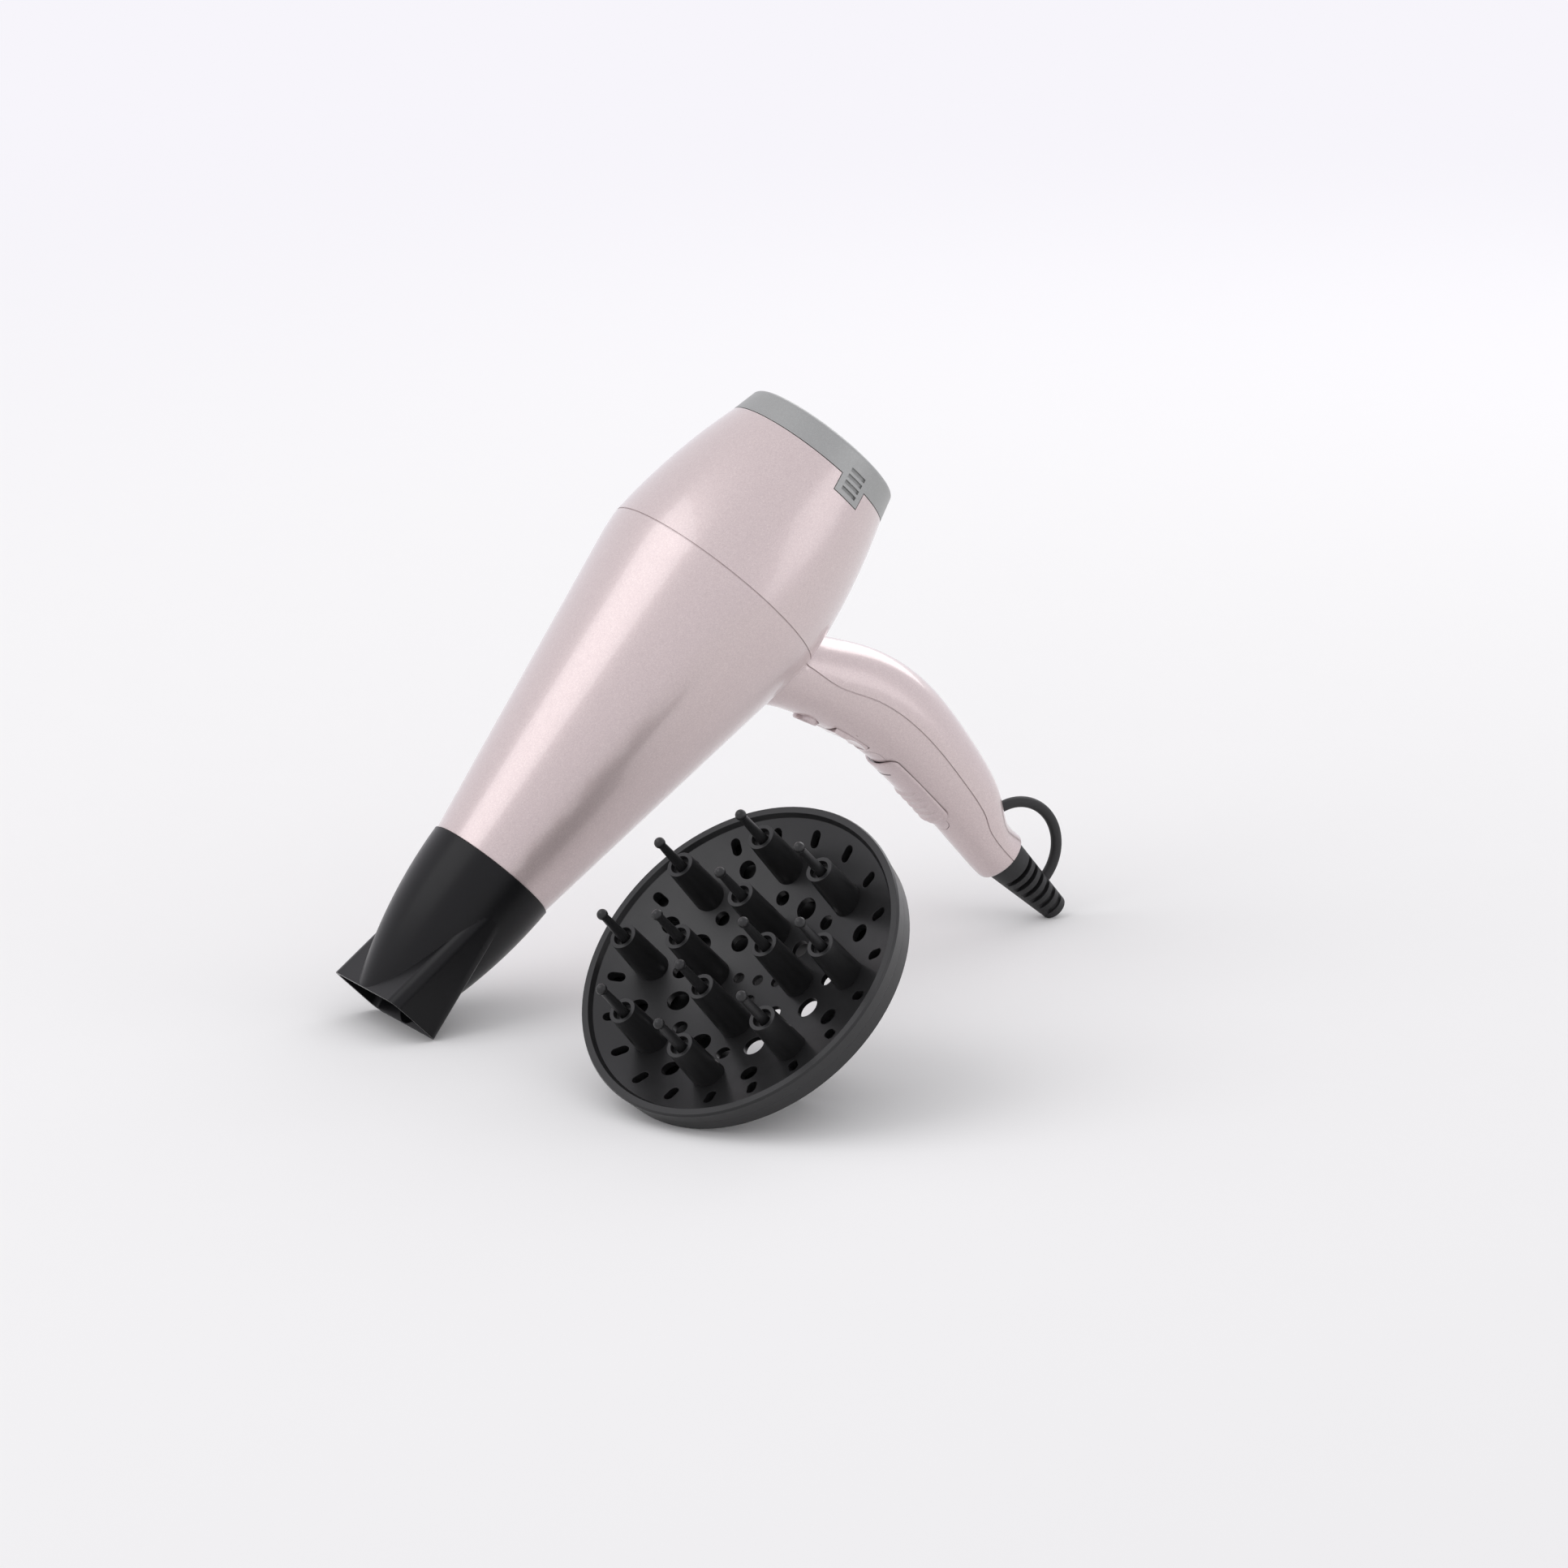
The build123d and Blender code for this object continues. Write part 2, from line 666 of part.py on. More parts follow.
with BuildPart() as rear_shell:
    add(shells.part)
    add(bosses.part)
    add(duct_ribs.part)
    add(front_side.part, mode=Mode.SUBTRACT)
    for q in SHELL_SCREW_Q:
        add(cross_rod(0, FAR, q, 0, SHELL_SCREW_R), mode=Mode.SUBTRACT)
        add(
            cross_rod(parting_s(q) + BOSS_FLOOR, FAR, q, 0, SHELL_SCREW_HEAD_R + EDGE_GAP),
            mode=Mode.SUBTRACT,
        )
    with BuildSketch(guard_root):
        Circle(GUARD_NECK_R)
    extrude(amount=-HANDLE_END_WALL, mode=Mode.SUBTRACT)
    add(loop_form.part, mode=Mode.SUBTRACT)
    for tab_side in (-1, 1):
        with BuildSketch(side.offset(tab_side * (REAR_END_R - TAB_NOTCH_DEPTH))):
            with Locations((REAR_END_S - TAB_REACH / 2, 0)):
                Rectangle(TAB_REACH + 2 * EDGE_GAP, TAB_WIDTH + 2 * EDGE_GAP)
        extrude(amount=tab_side * FAR, mode=Mode.SUBTRACT)
rear_shell.part.label = "rear_shell"
export_step(rear_shell.part, "parts/rear_shell.step")

# Concentrator nozzle: a round cone and a flat fan that grows out of it toward the mouth
bore_end_s = -NOSE_LENGTH - EDGE_GAP


def fan_mouth(inset):
    """Flat fan of the nozzle, wedge shaped with rounded long edges, smaller by the inset."""
    mouth_half = MOUTH_DEPTH / 2 - inset
    tail_half = FAN_TAIL_DEPTH / 2 - inset
    with BuildPart() as form:
        with BuildSketch(side):
            with BuildLine():
                Polyline(
                    (-NOZZLE_LENGTH, -mouth_half),
                    (-NOZZLE_LENGTH, mouth_half),
                    (FAN_TAIL_S, tail_half),
                    (FAN_TAIL_S, -tail_half),
                    close=True,
                )
            make_face()
        extrude(amount=MOUTH_WIDTH / 2 - inset, both=True)
        fillet(form.edges().sort_by(SortBy.LENGTH)[-4:], MOUTH_CORNER_R - inset)
    return form.part


def nozzle_form(inset):
    """Round cone of the nozzle joined with its fan, smaller by the inset."""
    with BuildPart() as form:
        with BuildSketch(side):
            with BuildLine():
                edge = (-EDGE_GAP, NOZZLE_EDGE_R - inset)
                waist = (NOZZLE_WAIST_S, NOZZLE_WAIST_R - inset)
                mouth = (-NOZZLE_LENGTH, MOUTH_DEPTH / 2 - inset)
                ThreePointArc(edge, waist, mouth)
                Polyline(mouth, (-NOZZLE_LENGTH, 0), (-EDGE_GAP, 0), edge)
            make_face()
        revolve(axis=barrel_axis)
        add(fan_mouth(inset))
    return form.part


with BuildPart() as nozzle:
    add(nozzle_form(0))
    add(nozzle_form(NOZZLE_WALL), mode=Mode.SUBTRACT)
    add(plug(bore_end_s, NOSE_LENGTH + EDGE_GAP, NOSE_R + RUN_GAP), mode=Mode.SUBTRACT)
nozzle.part.label = "nozzle"
export_step(nozzle.part, "parts/nozzle.step")

# Rear cap: ring with two latch tabs, and the shelf that carries the grille and the filter
with BuildPart() as cap_tabs:
    add(barrel_form(0))
    add(barrel_form(TAB_T), mode=Mode.SUBTRACT)
    add(
        front_block(REAR_END_S - TAB_REACH, REAR_END_S, -TAB_WIDTH / 2, TAB_WIDTH / 2, FAR),
        mode=Mode.INTERSECT,
    )

with BuildPart() as cap_gap:
    add(plug(REAR_END_S, EDGE_GAP, FAR))
    add(front_block(0, FAR, -TAB_WIDTH / 2, TAB_WIDTH / 2, FAR), mode=Mode.SUBTRACT)

cap_bore_r = LIP_R + RUN_GAP
cap_seat_s = CAP_SHELF_S + CAP_SHELF_T
with BuildPart() as rear_cap:
    with BuildSketch(side) as cap_profile:
        with BuildLine():
            Polyline(
                (REAR_END_S, cap_bore_r),
                (REAR_END_S, REAR_END_R),
                (CAP_BACK_S, CAP_BACK_R),
                (CAP_BACK_S, GRILLE_R),
                (cap_seat_s, GRILLE_R),
                (cap_seat_s, CAP_SHELF_R),
                (CAP_SHELF_S, CAP_SHELF_R),
                (CAP_SHELF_S, cap_bore_r),
                close=True,
            )
        make_face()
        fillet(cap_profile.vertices().group_by(Axis.X)[-1].sort_by(Axis.Y)[-1], CAP_EDGE_R)
    revolve(axis=barrel_axis)
    add(cap_gap.part, mode=Mode.SUBTRACT)
    add(cap_tabs.part)
    slot_first_s = REAR_END_S - TAB_REACH + TAB_SLOT_PITCH
    for tab_side in (-1, 1):
        for slot in range(TAB_SLOT_COUNT):
            slot_s = slot_first_s + slot * TAB_SLOT_PITCH
            slot_floor = REAR_END_R - TAB_SLOT_DEPTH - (slot_s - REAR_END_S) * (REAR_END_R - CAP_BACK_R) / (
                CAP_BACK_S - REAR_END_S
            )
            with BuildSketch(side.offset(tab_side * slot_floor)):
                with Locations((slot_s, 0)):
                    Rectangle(TAB_SLOT_WIDTH, TAB_SLOT_LENGTH)
            extrude(amount=tab_side * FAR, mode=Mode.SUBTRACT)
rear_cap.part.label = "rear_cap"
export_step(rear_cap.part, "parts/rear_cap.step")

# Inlet grille: raised plate with a sloped edge and rings of round holes
grille_back_s = cap_seat_s + GRILLE_T + GRILLE_RISE
with BuildPart() as inlet_grille:
    with BuildSketch(side):
        with BuildLine():
            Polyline(
                (cap_seat_s + GRILLE_RISE, 0),
                (cap_seat_s + GRILLE_RISE, GRILLE_FLAT_R),
                (cap_seat_s, GRILLE_FLAT_R),
                (cap_seat_s, GRILLE_R),
                (cap_seat_s + GRILLE_T, GRILLE_R),
                (grille_back_s, GRILLE_FLAT_R),
                (grille_back_s, 0),
                close=True,
            )
        make_face()
    revolve(axis=barrel_axis)
    with BuildSketch(across(cap_seat_s)):
        Circle(GRILLE_HOLE_R)
        for hole_ring in range(1, GRILLE_RINGS + 1):
            with PolarLocations(hole_ring * GRILLE_RING_PITCH, hole_ring * GRILLE_RING_HOLES):
                Circle(GRILLE_HOLE_R)
    extrude(amount=GRILLE_T + 2 * GRILLE_RISE, mode=Mode.SUBTRACT)
inlet_grille.part.label = "inlet_grille"
export_step(inlet_grille.part, "parts/inlet_grille.step")

# Filter: gauze in a thin ring, in front of the cap's shelf
with BuildPart() as filter_mesh:
    add(ring(CAP_SHELF_S - FILTER_RIM_T, FILTER_RIM_T, FILTER_R, FILTER_R - FILTER_RIM_WIDTH))
    add(plug(CAP_SHELF_S - GAUZE_T, GAUZE_T, FILTER_R - FILTER_RIM_WIDTH / 2))
filter_mesh.part.label = "filter_mesh"
export_step(filter_mesh.part, "parts/filter_mesh.step")


def spoked_ring(s, thickness, outer_r, rim_width, ring_r, ring_width, hub_r, spokes, spoke_t):
    """Round grating: rim, middle ring, hub and spokes of one thickness."""
    with BuildPart() as form:
        with BuildSketch(across(s)):
            Circle(outer_r)
            Circle(outer_r - rim_width, mode=Mode.SUBTRACT)
            Circle(hub_r)
            with PolarLocations(0, spokes):
                with Locations(((outer_r - rim_width / 2) / 2, 0)):
                    Rectangle(outer_r - rim_width / 2, spoke_t)
        extrude(amount=thickness)
        with BuildSketch(across(s)):
            Circle(ring_r + ring_width / 2)
            Circle(ring_r - ring_width / 2, mode=Mode.SUBTRACT)
        extrude(amount=thickness)
    return form.part


# Intake guard behind the cap, against the rear shell's inner flange
with BuildPart() as intake_guard:
    add(
        spoked_ring(
            REAR_END_S - WALL - GUARD_RING_T,
            GUARD_RING_T,
            GUARD_RING_R,
            GUARD_RING_WIDTH,
            GUARD_RING_MID_R,
            OUTLET_RING_WIDTH,
            OUTLET_HUB_R,
            GUARD_SPOKES,
            OUTLET_SPOKE_T,
        )
    )
intake_guard.part.label = "intake_guard"
export_step(intake_guard.part, "parts/intake_guard.step")

# Outlet grille, against the step behind the nose
with BuildPart() as outlet_grille:
    add(
        spoked_ring(
            0,
            OUTLET_T,
            BARREL_FRONT_R - WALL,
            OUTLET_RIM_WIDTH,
            OUTLET_RING_R,
            OUTLET_RING_WIDTH,
            OUTLET_HUB_R,
            OUTLET_SPOKES,
            OUTLET_SPOKE_T,
        )
    )
outlet_grille.part.label = "outlet_grille"
export_step(outlet_grille.part, "parts/outlet_grille.step")

# Fan: hub with twisted blades on the motor's shaft
hub_rear_s = FAN_FRONT_S + FAN_HUB_LENGTH
blade_s = FAN_FRONT_S + FAN_HUB_LENGTH / 2


def blade_section(radius, pitch):
    """Plane across a blade at a radius, its x along the blade's chord."""
    chord = Vector(0, cos(radians(pitch)), 0) + rearward * sin(radians(pitch))
    return Plane(origin=at(blade_s, radius), x_dir=chord, z_dir=handleward)


with BuildPart() as blade:
    with BuildSketch(blade_section(FAN_HUB_R - BLADE_ROOT_T, BLADE_ROOT_PITCH)):
        Rectangle(BLADE_ROOT_CHORD, BLADE_ROOT_T)
    with BuildSketch(blade_section(FAN_R + BLADE_TIP_T, BLADE_TIP_PITCH)):
        Rectangle(BLADE_TIP_CHORD, BLADE_TIP_T)
    loft()
    add(plug(0, FAR, FAN_R), mode=Mode.INTERSECT)

with BuildPart() as fan:
    with BuildSketch(side):
        with BuildLine():
            Line((FAN_FRONT_S, 0), (FAN_FRONT_S, FAN_HUB_R))
            Line((FAN_FRONT_S, FAN_HUB_R), (hub_rear_s, FAN_HUB_R))
            hub_nose = (hub_rear_s + FAN_NOSE_RISE, 0)
            TangentArc(hub_nose, (hub_rear_s, FAN_HUB_R), tangent=(0, 1))
            Line(hub_nose, (FAN_FRONT_S, 0))
        make_face()
    revolve(axis=barrel_axis)
    for index in range(FAN_BLADES):
        add(blade.part.rotate(barrel_axis, index * 360 / FAN_BLADES))
    add(plug(FAN_FRONT_S, FAN_HUB_LENGTH, SHAFT_R), mode=Mode.SUBTRACT)
fan.part.label = "fan"
export_step(fan.part, "parts/fan.step")

# Motor: shaft, armature, can, magnets, end cap and bushes
motor_rear_s = MOTOR_FRONT_S + MOTOR_LENGTH
motor_mid_s = MOTOR_FRONT_S + MOTOR_LENGTH / 2
motor_inner_r = MOTOR_R - MOTOR_WALL
bush_rear_s = motor_rear_s - MOTOR_WALL - (BUSH_LENGTH - MOTOR_WALL) / 2

with BuildPart() as motor_shaft:
    add(plug(SHAFT_FRONT_S, hub_rear_s - SHAFT_FRONT_S, SHAFT_R))
motor_shaft.part.label = "motor_shaft"
export_step(motor_shaft.part, "parts/motor_shaft.step")

with BuildPart() as armature:
    add(ring(motor_mid_s - ARMATURE_LENGTH / 2, ARMATURE_LENGTH, ARMATURE_R, SHAFT_R))
    with BuildSketch(across(motor_mid_s - ARMATURE_LENGTH / 2)):
        with PolarLocations(ARMATURE_R, ARMATURE_SLOTS):
            Rectangle(2 * ARMATURE_SLOT_DEPTH, ARMATURE_SLOT_WIDTH)
    extrude(amount=ARMATURE_LENGTH, mode=Mode.SUBTRACT)
armature.part.label = "armature"
export_step(armature.part, "parts/armature.step")

with BuildPart() as motor_can:
    add(plug(MOTOR_FRONT_S, MOTOR_LENGTH, MOTOR_R))
    add(plug(MOTOR_FRONT_S, MOTOR_LENGTH - MOTOR_WALL, motor_inner_r), mode=Mode.SUBTRACT)
    add(plug(MOTOR_FRONT_S, MOTOR_LENGTH, BUSH_R), mode=Mode.SUBTRACT)
motor_can.part.label = "motor_can"
export_step(motor_can.part, "parts/motor_can.step")

with BuildPart() as motor_magnets:
    add(ring(motor_mid_s - MAGNET_LENGTH / 2, MAGNET_LENGTH, motor_inner_r, motor_inner_r - MAGNET_T))
    magnet_gap = 2 * motor_inner_r * sin(radians(MAGNET_GAP_ANGLE / 2))
    with BuildSketch(across(motor_mid_s - MAGNET_LENGTH / 2)):
        Rectangle(4 * motor_inner_r, magnet_gap)
    extrude(amount=MAGNET_LENGTH, mode=Mode.SUBTRACT)
motor_magnets.part.label = "motor_magnets"
export_step(motor_magnets.part, "parts/motor_magnets.step")

with BuildPart() as motor_end_cap:
    add(plug(MOTOR_FRONT_S - END_CAP_T, END_CAP_T, MOTOR_R))
    add(plug(MOTOR_FRONT_S, END_CAP_PLUG, motor_inner_r))
    with BuildSketch(across(MOTOR_FRONT_S - END_CAP_T)):
        with PolarLocations(TERMINAL_OFFSET, 2):
            Rectangle(TERMINAL_SIZE[1], TERMINAL_SIZE[0])
    extrude(amount=-TERMINAL_SIZE[2])
    add(plug(MOTOR_FRONT_S - END_CAP_T, END_CAP_T + END_CAP_PLUG, BUSH_R), mode=Mode.SUBTRACT)
motor_end_cap.part.label = "motor_end_cap"
export_step(motor_end_cap.part, "parts/motor_end_cap.step")

with BuildPart() as motor_bushes:
    add(ring(bush_rear_s, BUSH_LENGTH, BUSH_R, SHAFT_R + RUN_GAP))
    add(ring(MOTOR_FRONT_S - END_CAP_T, BUSH_LENGTH, BUSH_R, SHAFT_R + RUN_GAP))
motor_bushes.part.label = "motor_bushes"
export_step(motor_bushes.part, "parts/motor_bushes.step")

# Air duct: funnel round the fan and motor, with the motor's cup on vanes
collar_front_s = DUCT_CONE_FRONT_S - DUCT_COLLAR_LENGTH
cup_rear_s = motor_rear_s - VANE_T
with BuildPart() as air_duct:
    with BuildSketch(side):
        with BuildLine():
            Polyline(
                (DUCT_REAR_S, DUCT_R - DUCT_WALL),
                (DUCT_REAR_S, DUCT_R),
                (DUCT_CONE_REAR_S, DUCT_R),
                (DUCT_CONE_FRONT_S, SLEEVE_R + DUCT_WALL),
                (collar_front_s, SLEEVE_R + DUCT_WALL),
                (collar_front_s, SLEEVE_R),
                (DUCT_CONE_FRONT_S, SLEEVE_R),
                (DUCT_CONE_REAR_S, DUCT_R - DUCT_WALL),
                close=True,
            )
        make_face()
    revolve(axis=barrel_axis)
    with BuildSketch(across(cup_rear_s - VANE_LENGTH)):
        with PolarLocations((MOTOR_R + DUCT_R) / 2, VANES):
            Rectangle(DUCT_R - MOTOR_R - DUCT_WALL, VANE_T)
    extrude(amount=VANE_LENGTH)
    add(plug(cup_rear_s - CUP_LENGTH, CUP_LENGTH, MOTOR_R + CUP_WALL))
    add(plug(0, FAR, MOTOR_R), mode=Mode.SUBTRACT)
air_duct.part.label = "air_duct"
export_step(air_duct.part, "parts/air_duct.step")

# Heater: sleeve, frame of crossed boards between two end rings, wound ribbon and thermostat
sleeve_front_s = CONE_END_S * (SLEEVE_R + WALL - BARREL_FRONT_R) / (CONE_END_R - BARREL_FRONT_R)
heater_rear_s = HEATER_FRONT_S + HEATER_LENGTH
sleeve_inner_r = SLEEVE_R - SLEEVE_T

with BuildPart() as heater_sleeve:
    add(ring(sleeve_front_s, SLEEVE_REAR_S - sleeve_front_s, SLEEVE_R, sleeve_inner_r))
heater_sleeve.part.label = "heater_sleeve"
export_step(heater_sleeve.part, "parts/heater_sleeve.step")

with BuildPart() as heater_frame:
    with BuildSketch(across(HEATER_FRONT_S)):
        Rectangle(2 * HEATER_BOARD_HALF, HEATER_BOARD_T)
        Rectangle(HEATER_BOARD_T, 2 * HEATER_BOARD_HALF)
    extrude(amount=HEATER_LENGTH)
    for end_s in (HEATER_FRONT_S, heater_rear_s - HEATER_END_LENGTH):
        with BuildSketch(across(end_s)):
            Rectangle(2 * HEATER_RING_R + HEATER_BOARD_T, HEATER_BOARD_T)
            Rectangle(HEATER_BOARD_T, 2 * HEATER_RING_R + HEATER_BOARD_T)
        extrude(amount=HEATER_END_LENGTH)
    for end_s in (HEATER_FRONT_S, heater_rear_s - HEATER_RING_T):
        add(ring(end_s, HEATER_RING_T, sleeve_inner_r, HEATER_RING_R))
heater_frame.part.label = "heater_frame"
export_step(heater_frame.part, "parts/heater_frame.step")

with BuildPart() as heater_coil:
    with BuildLine() as coil_path:
        Helix(
            pitch=COIL_PITCH,
            height=COIL_PITCH * COIL_TURNS,
            radius=HEATER_BOARD_HALF + RIBBON_T / 2 + RUN_GAP,
            center=at(HEATER_FRONT_S + COIL_START, 0),
            direction=rearward,
        )
    with BuildSketch(Plane(origin=coil_path.line @ 0, x_dir=rearward, z_dir=coil_path.line % 0)):
        Rectangle(RIBBON_WIDTH, RIBBON_T)
    sweep(path=coil_path.line, is_frenet=True)
heater_coil.part.label = "heater_coil"
export_step(heater_coil.part, "parts/heater_coil.step")

with BuildPart() as thermostat:
    with BuildSketch(side.offset(HEATER_BOARD_T / 2)):
        with Locations((THERMOSTAT_S, THERMOSTAT_Q)):
            Rectangle(THERMOSTAT_SIZE[0], THERMOSTAT_SIZE[1])
    extrude(amount=THERMOSTAT_SIZE[2])
thermostat.part.label = "thermostat"
export_step(thermostat.part, "parts/thermostat.step")

# Switch plate: flush with the handle's front face, with the track for the slider
track_length = SLIDER_LENGTH + 2 * (SLIDER_TRAVEL + SIDE_GAP)
stem_slot_length = STEM_LENGTH + 2 * (SLIDER_TRAVEL + SIDE_GAP)
slider_offset = SLIDER_Q - PLATE_Q
with BuildPart() as switch_plate:
    add(handle_form(0))
    with BuildSketch(plate_face):
        RectangleRounded(PLATE_LENGTH, PLATE_WIDTH, PLATE_CORNER_R)
    extrude(amount=FAR, mode=Mode.INTERSECT)
    with BuildSketch(plate_face.offset(PLATE_S - TRACK_FLOOR_S)):
        with Locations((slider_offset, 0)):
            Rectangle(track_length, 2 * (SLIDER_HALF + FACE_GAP))
    extrude(amount=FAR, mode=Mode.SUBTRACT)
    with BuildSketch(plate_face):
        with Locations((slider_offset, 0)):
            Rectangle(stem_slot_length, 2 * (STEM_HALF + FACE_GAP))
    extrude(amount=FAR, mode=Mode.SUBTRACT)
switch_plate.part.label = "switch_plate"
export_step(switch_plate.part, "parts/switch_plate.step")

# Slider: crowned thumb piece with cross ribs, and the stem that works the switch
slider_top_q = SLIDER_Q - SLIDER_LENGTH / 2
rib_pitch = SLIDER_LENGTH / SLIDER_RIBS
rib_root_s = SLIDER_TOP_S + SLIDER_RIB_HEIGHT
slider_base_s = TRACK_FLOOR_S - FACE_GAP
with BuildPart() as slider:
    with BuildSketch(side):
        with BuildLine():
            for rib in range(SLIDER_RIBS):
                rib_q = slider_top_q + rib * rib_pitch
                rib_end_q = rib_q + rib_pitch
                ThreePointArc(
                    (rib_root_s, rib_q), (SLIDER_TOP_S, rib_q + rib_pitch / 2), (rib_root_s, rib_end_q)
                )
            Polyline(
                (rib_root_s, slider_top_q + SLIDER_LENGTH),
                (slider_base_s, slider_top_q + SLIDER_LENGTH),
                (slider_base_s, slider_top_q),
                (rib_root_s, slider_top_q),
            )
        make_face()
    extrude(amount=SLIDER_HALF, both=True)
    with BuildSketch(along(SLIDER_TOP_S + SLIDER_CROWN_DROP + SLIDER_CROWN_R, slider_top_q)):
        Circle(SLIDER_CROWN_R)
    extrude(amount=SLIDER_LENGTH, mode=Mode.INTERSECT)
    add(
        front_block(
            slider_base_s - FACE_GAP,
            STEM_END_S,
            SLIDER_Q - STEM_LENGTH / 2,
            SLIDER_Q + STEM_LENGTH / 2,
            STEM_HALF,
        )
    )
slider.part.label = "slider"
export_step(slider.part, "parts/slider.step")

# Rocker: scooped cap on two pins, with the leg that works its switch
with BuildPart() as rocker:
    with BuildSketch(rocker_face):
        with BuildLine():
            rocker_high = (-ROCKER_HALF_LENGTH, ROCKER_TOP)
            rocker_brow = (-ROCKER_HALF_LENGTH / 3, ROCKER_TOP)
            rocker_dip = (ROCKER_HALF_LENGTH / 3, ROCKER_TOP - ROCKER_SCOOP)
            rocker_low = (ROCKER_HALF_LENGTH, ROCKER_TOP - ROCKER_SCOOP / 2)
            Line(rocker_high, rocker_brow)
            ThreePointArc(rocker_brow, rocker_dip, rocker_low)
            Polyline(
                rocker_low,
                (ROCKER_HALF_LENGTH, -ROCKER_PIVOT_DEPTH),
                (ROCKER_LEG_HALF, -ROCKER_BOTTOM),
                (-ROCKER_LEG_HALF, -ROCKER_BOTTOM),
                (-ROCKER_HALF_LENGTH, -ROCKER_PIVOT_DEPTH),
                rocker_high,
            )
        make_face()
    extrude(amount=ROCKER_HALF_WIDTH, both=True)
    with BuildSketch(rocker_face):
        with Locations((0, -ROCKER_PIVOT_DEPTH)):
            Circle(ROCKER_PIN_R)
    extrude(amount=ROCKER_HALF_WIDTH + ROCKER_PIN_LENGTH, both=True)
    with BuildSketch(rocker_face):
        with Locations((0, -(ROCKER_PIVOT_DEPTH + ROCKER_LEG_END) / 2)):
            Rectangle(2 * ROCKER_LEG_HALF, ROCKER_LEG_END - ROCKER_PIVOT_DEPTH)
    extrude(amount=ROCKER_LEG_WIDTH, both=True)
rocker.part.label = "rocker"
export_step(rocker.part, "parts/rocker.step")

# Cool shot button: domed cap, flange behind the wall, and stem
with BuildPart() as cool_shot_button:
    with BuildSketch(button_face.offset(BUTTON_RISE)):
        Circle(BUTTON_R)
    extrude(amount=-BUTTON_RISE - BUTTON_FLANGE_TOP)
    fillet(cool_shot_button.edges().group_by(Axis(button_face.origin, button_face.z_dir))[-1], BUTTON_EDGE_R)
    with BuildSketch(button_face.offset(-BUTTON_FLANGE_TOP)):
        Circle(BUTTON_FLANGE_R)
    extrude(amount=-BUTTON_FLANGE_T)
    with BuildSketch(button_face.offset(-BUTTON_FLANGE_TOP)):
        Circle(BUTTON_STEM_R)
    extrude(amount=BUTTON_FLANGE_TOP - BUTTON_STEM_END)
cool_shot_button.part.label = "cool_shot_button"
export_step(cool_shot_button.part, "parts/cool_shot_button.step")

# Switch board with its three switches
with BuildPart() as switch_board:
    add(front_block(BOARD_S, BOARD_S + BOARD_T, BOARD_TOP_Q, BOARD_END_Q, BOARD_HALF_WIDTH))
    add(cross_rod(BOARD_S, BOARD_S + BOARD_T, SHELL_SCREW_Q[0], 0, BOSS_R + SIDE_GAP), mode=Mode.SUBTRACT)
switch_board.part.label = "switch_board"
export_step(switch_board.part, "parts/switch_board.step")

with BuildPart() as slide_switch:
    add(
        front_block(
            SLIDE_SWITCH_S,
            BOARD_S,
            SLIDER_Q - SLIDE_SWITCH_LENGTH / 2,
            SLIDER_Q + SLIDE_SWITCH_LENGTH / 2,
            SLIDE_SWITCH_HALF,
        )
    )
    add(
        front_block(
            SLIDE_SWITCH_S,
            STEM_END_S + SWITCH_FLOOR,
            SLIDER_Q - stem_slot_length / 2,
            SLIDER_Q + stem_slot_length / 2,
            STEM_HALF + SIDE_GAP,
        ),
        mode=Mode.SUBTRACT,
    )
slide_switch.part.label = "slide_switch"
export_step(slide_switch.part, "parts/slide_switch.step")

leg_end = rocker_face.from_local_coords((0, -ROCKER_LEG_END, 0))
leg_s = side.to_local_coords(leg_end).X
leg_q = side.to_local_coords(leg_end).Y
with BuildPart() as rocker_switch:
    add(
        front_block(
            ROCKER_SWITCH_S,
            BOARD_S,
            leg_q - ROCKER_SWITCH_HALF,
            leg_q + ROCKER_SWITCH_HALF,
            SLIDE_SWITCH_HALF,
        )
    )
    add(
        front_block(
            ROCKER_SWITCH_S,
            leg_s + SWITCH_FLOOR,
            leg_q - ROCKER_SWITCH_WELL,
            leg_q + ROCKER_SWITCH_WELL,
            ROCKER_LEG_WIDTH + SIDE_GAP,
        ),
        mode=Mode.SUBTRACT,
    )
rocker_switch.part.label = "rocker_switch"
export_step(rocker_switch.part, "parts/rocker_switch.step")

with BuildPart() as cool_shot_switch:
    with BuildSketch(button_face.offset(-BUTTON_SWITCH_TOP)):
        Rectangle(2 * BUTTON_SWITCH_HALF, 2 * BUTTON_SWITCH_HALF)
    extrude(amount=-FAR)
    add(front_block(0, BOARD_S, 0, FAR, FAR), mode=Mode.INTERSECT)
    with BuildSketch(button_face.offset(-BUTTON_SWITCH_TOP)):
        Circle(BUTTON_SWITCH_WELL_R)
    extrude(amount=BUTTON_SWITCH_TOP - BUTTON_STEM_END - BUTTON_TRAVEL - SWITCH_FLOOR, mode=Mode.SUBTRACT)
cool_shot_switch.part.label = "cool_shot_switch"
export_step(cool_shot_switch.part, "parts/cool_shot_switch.step")

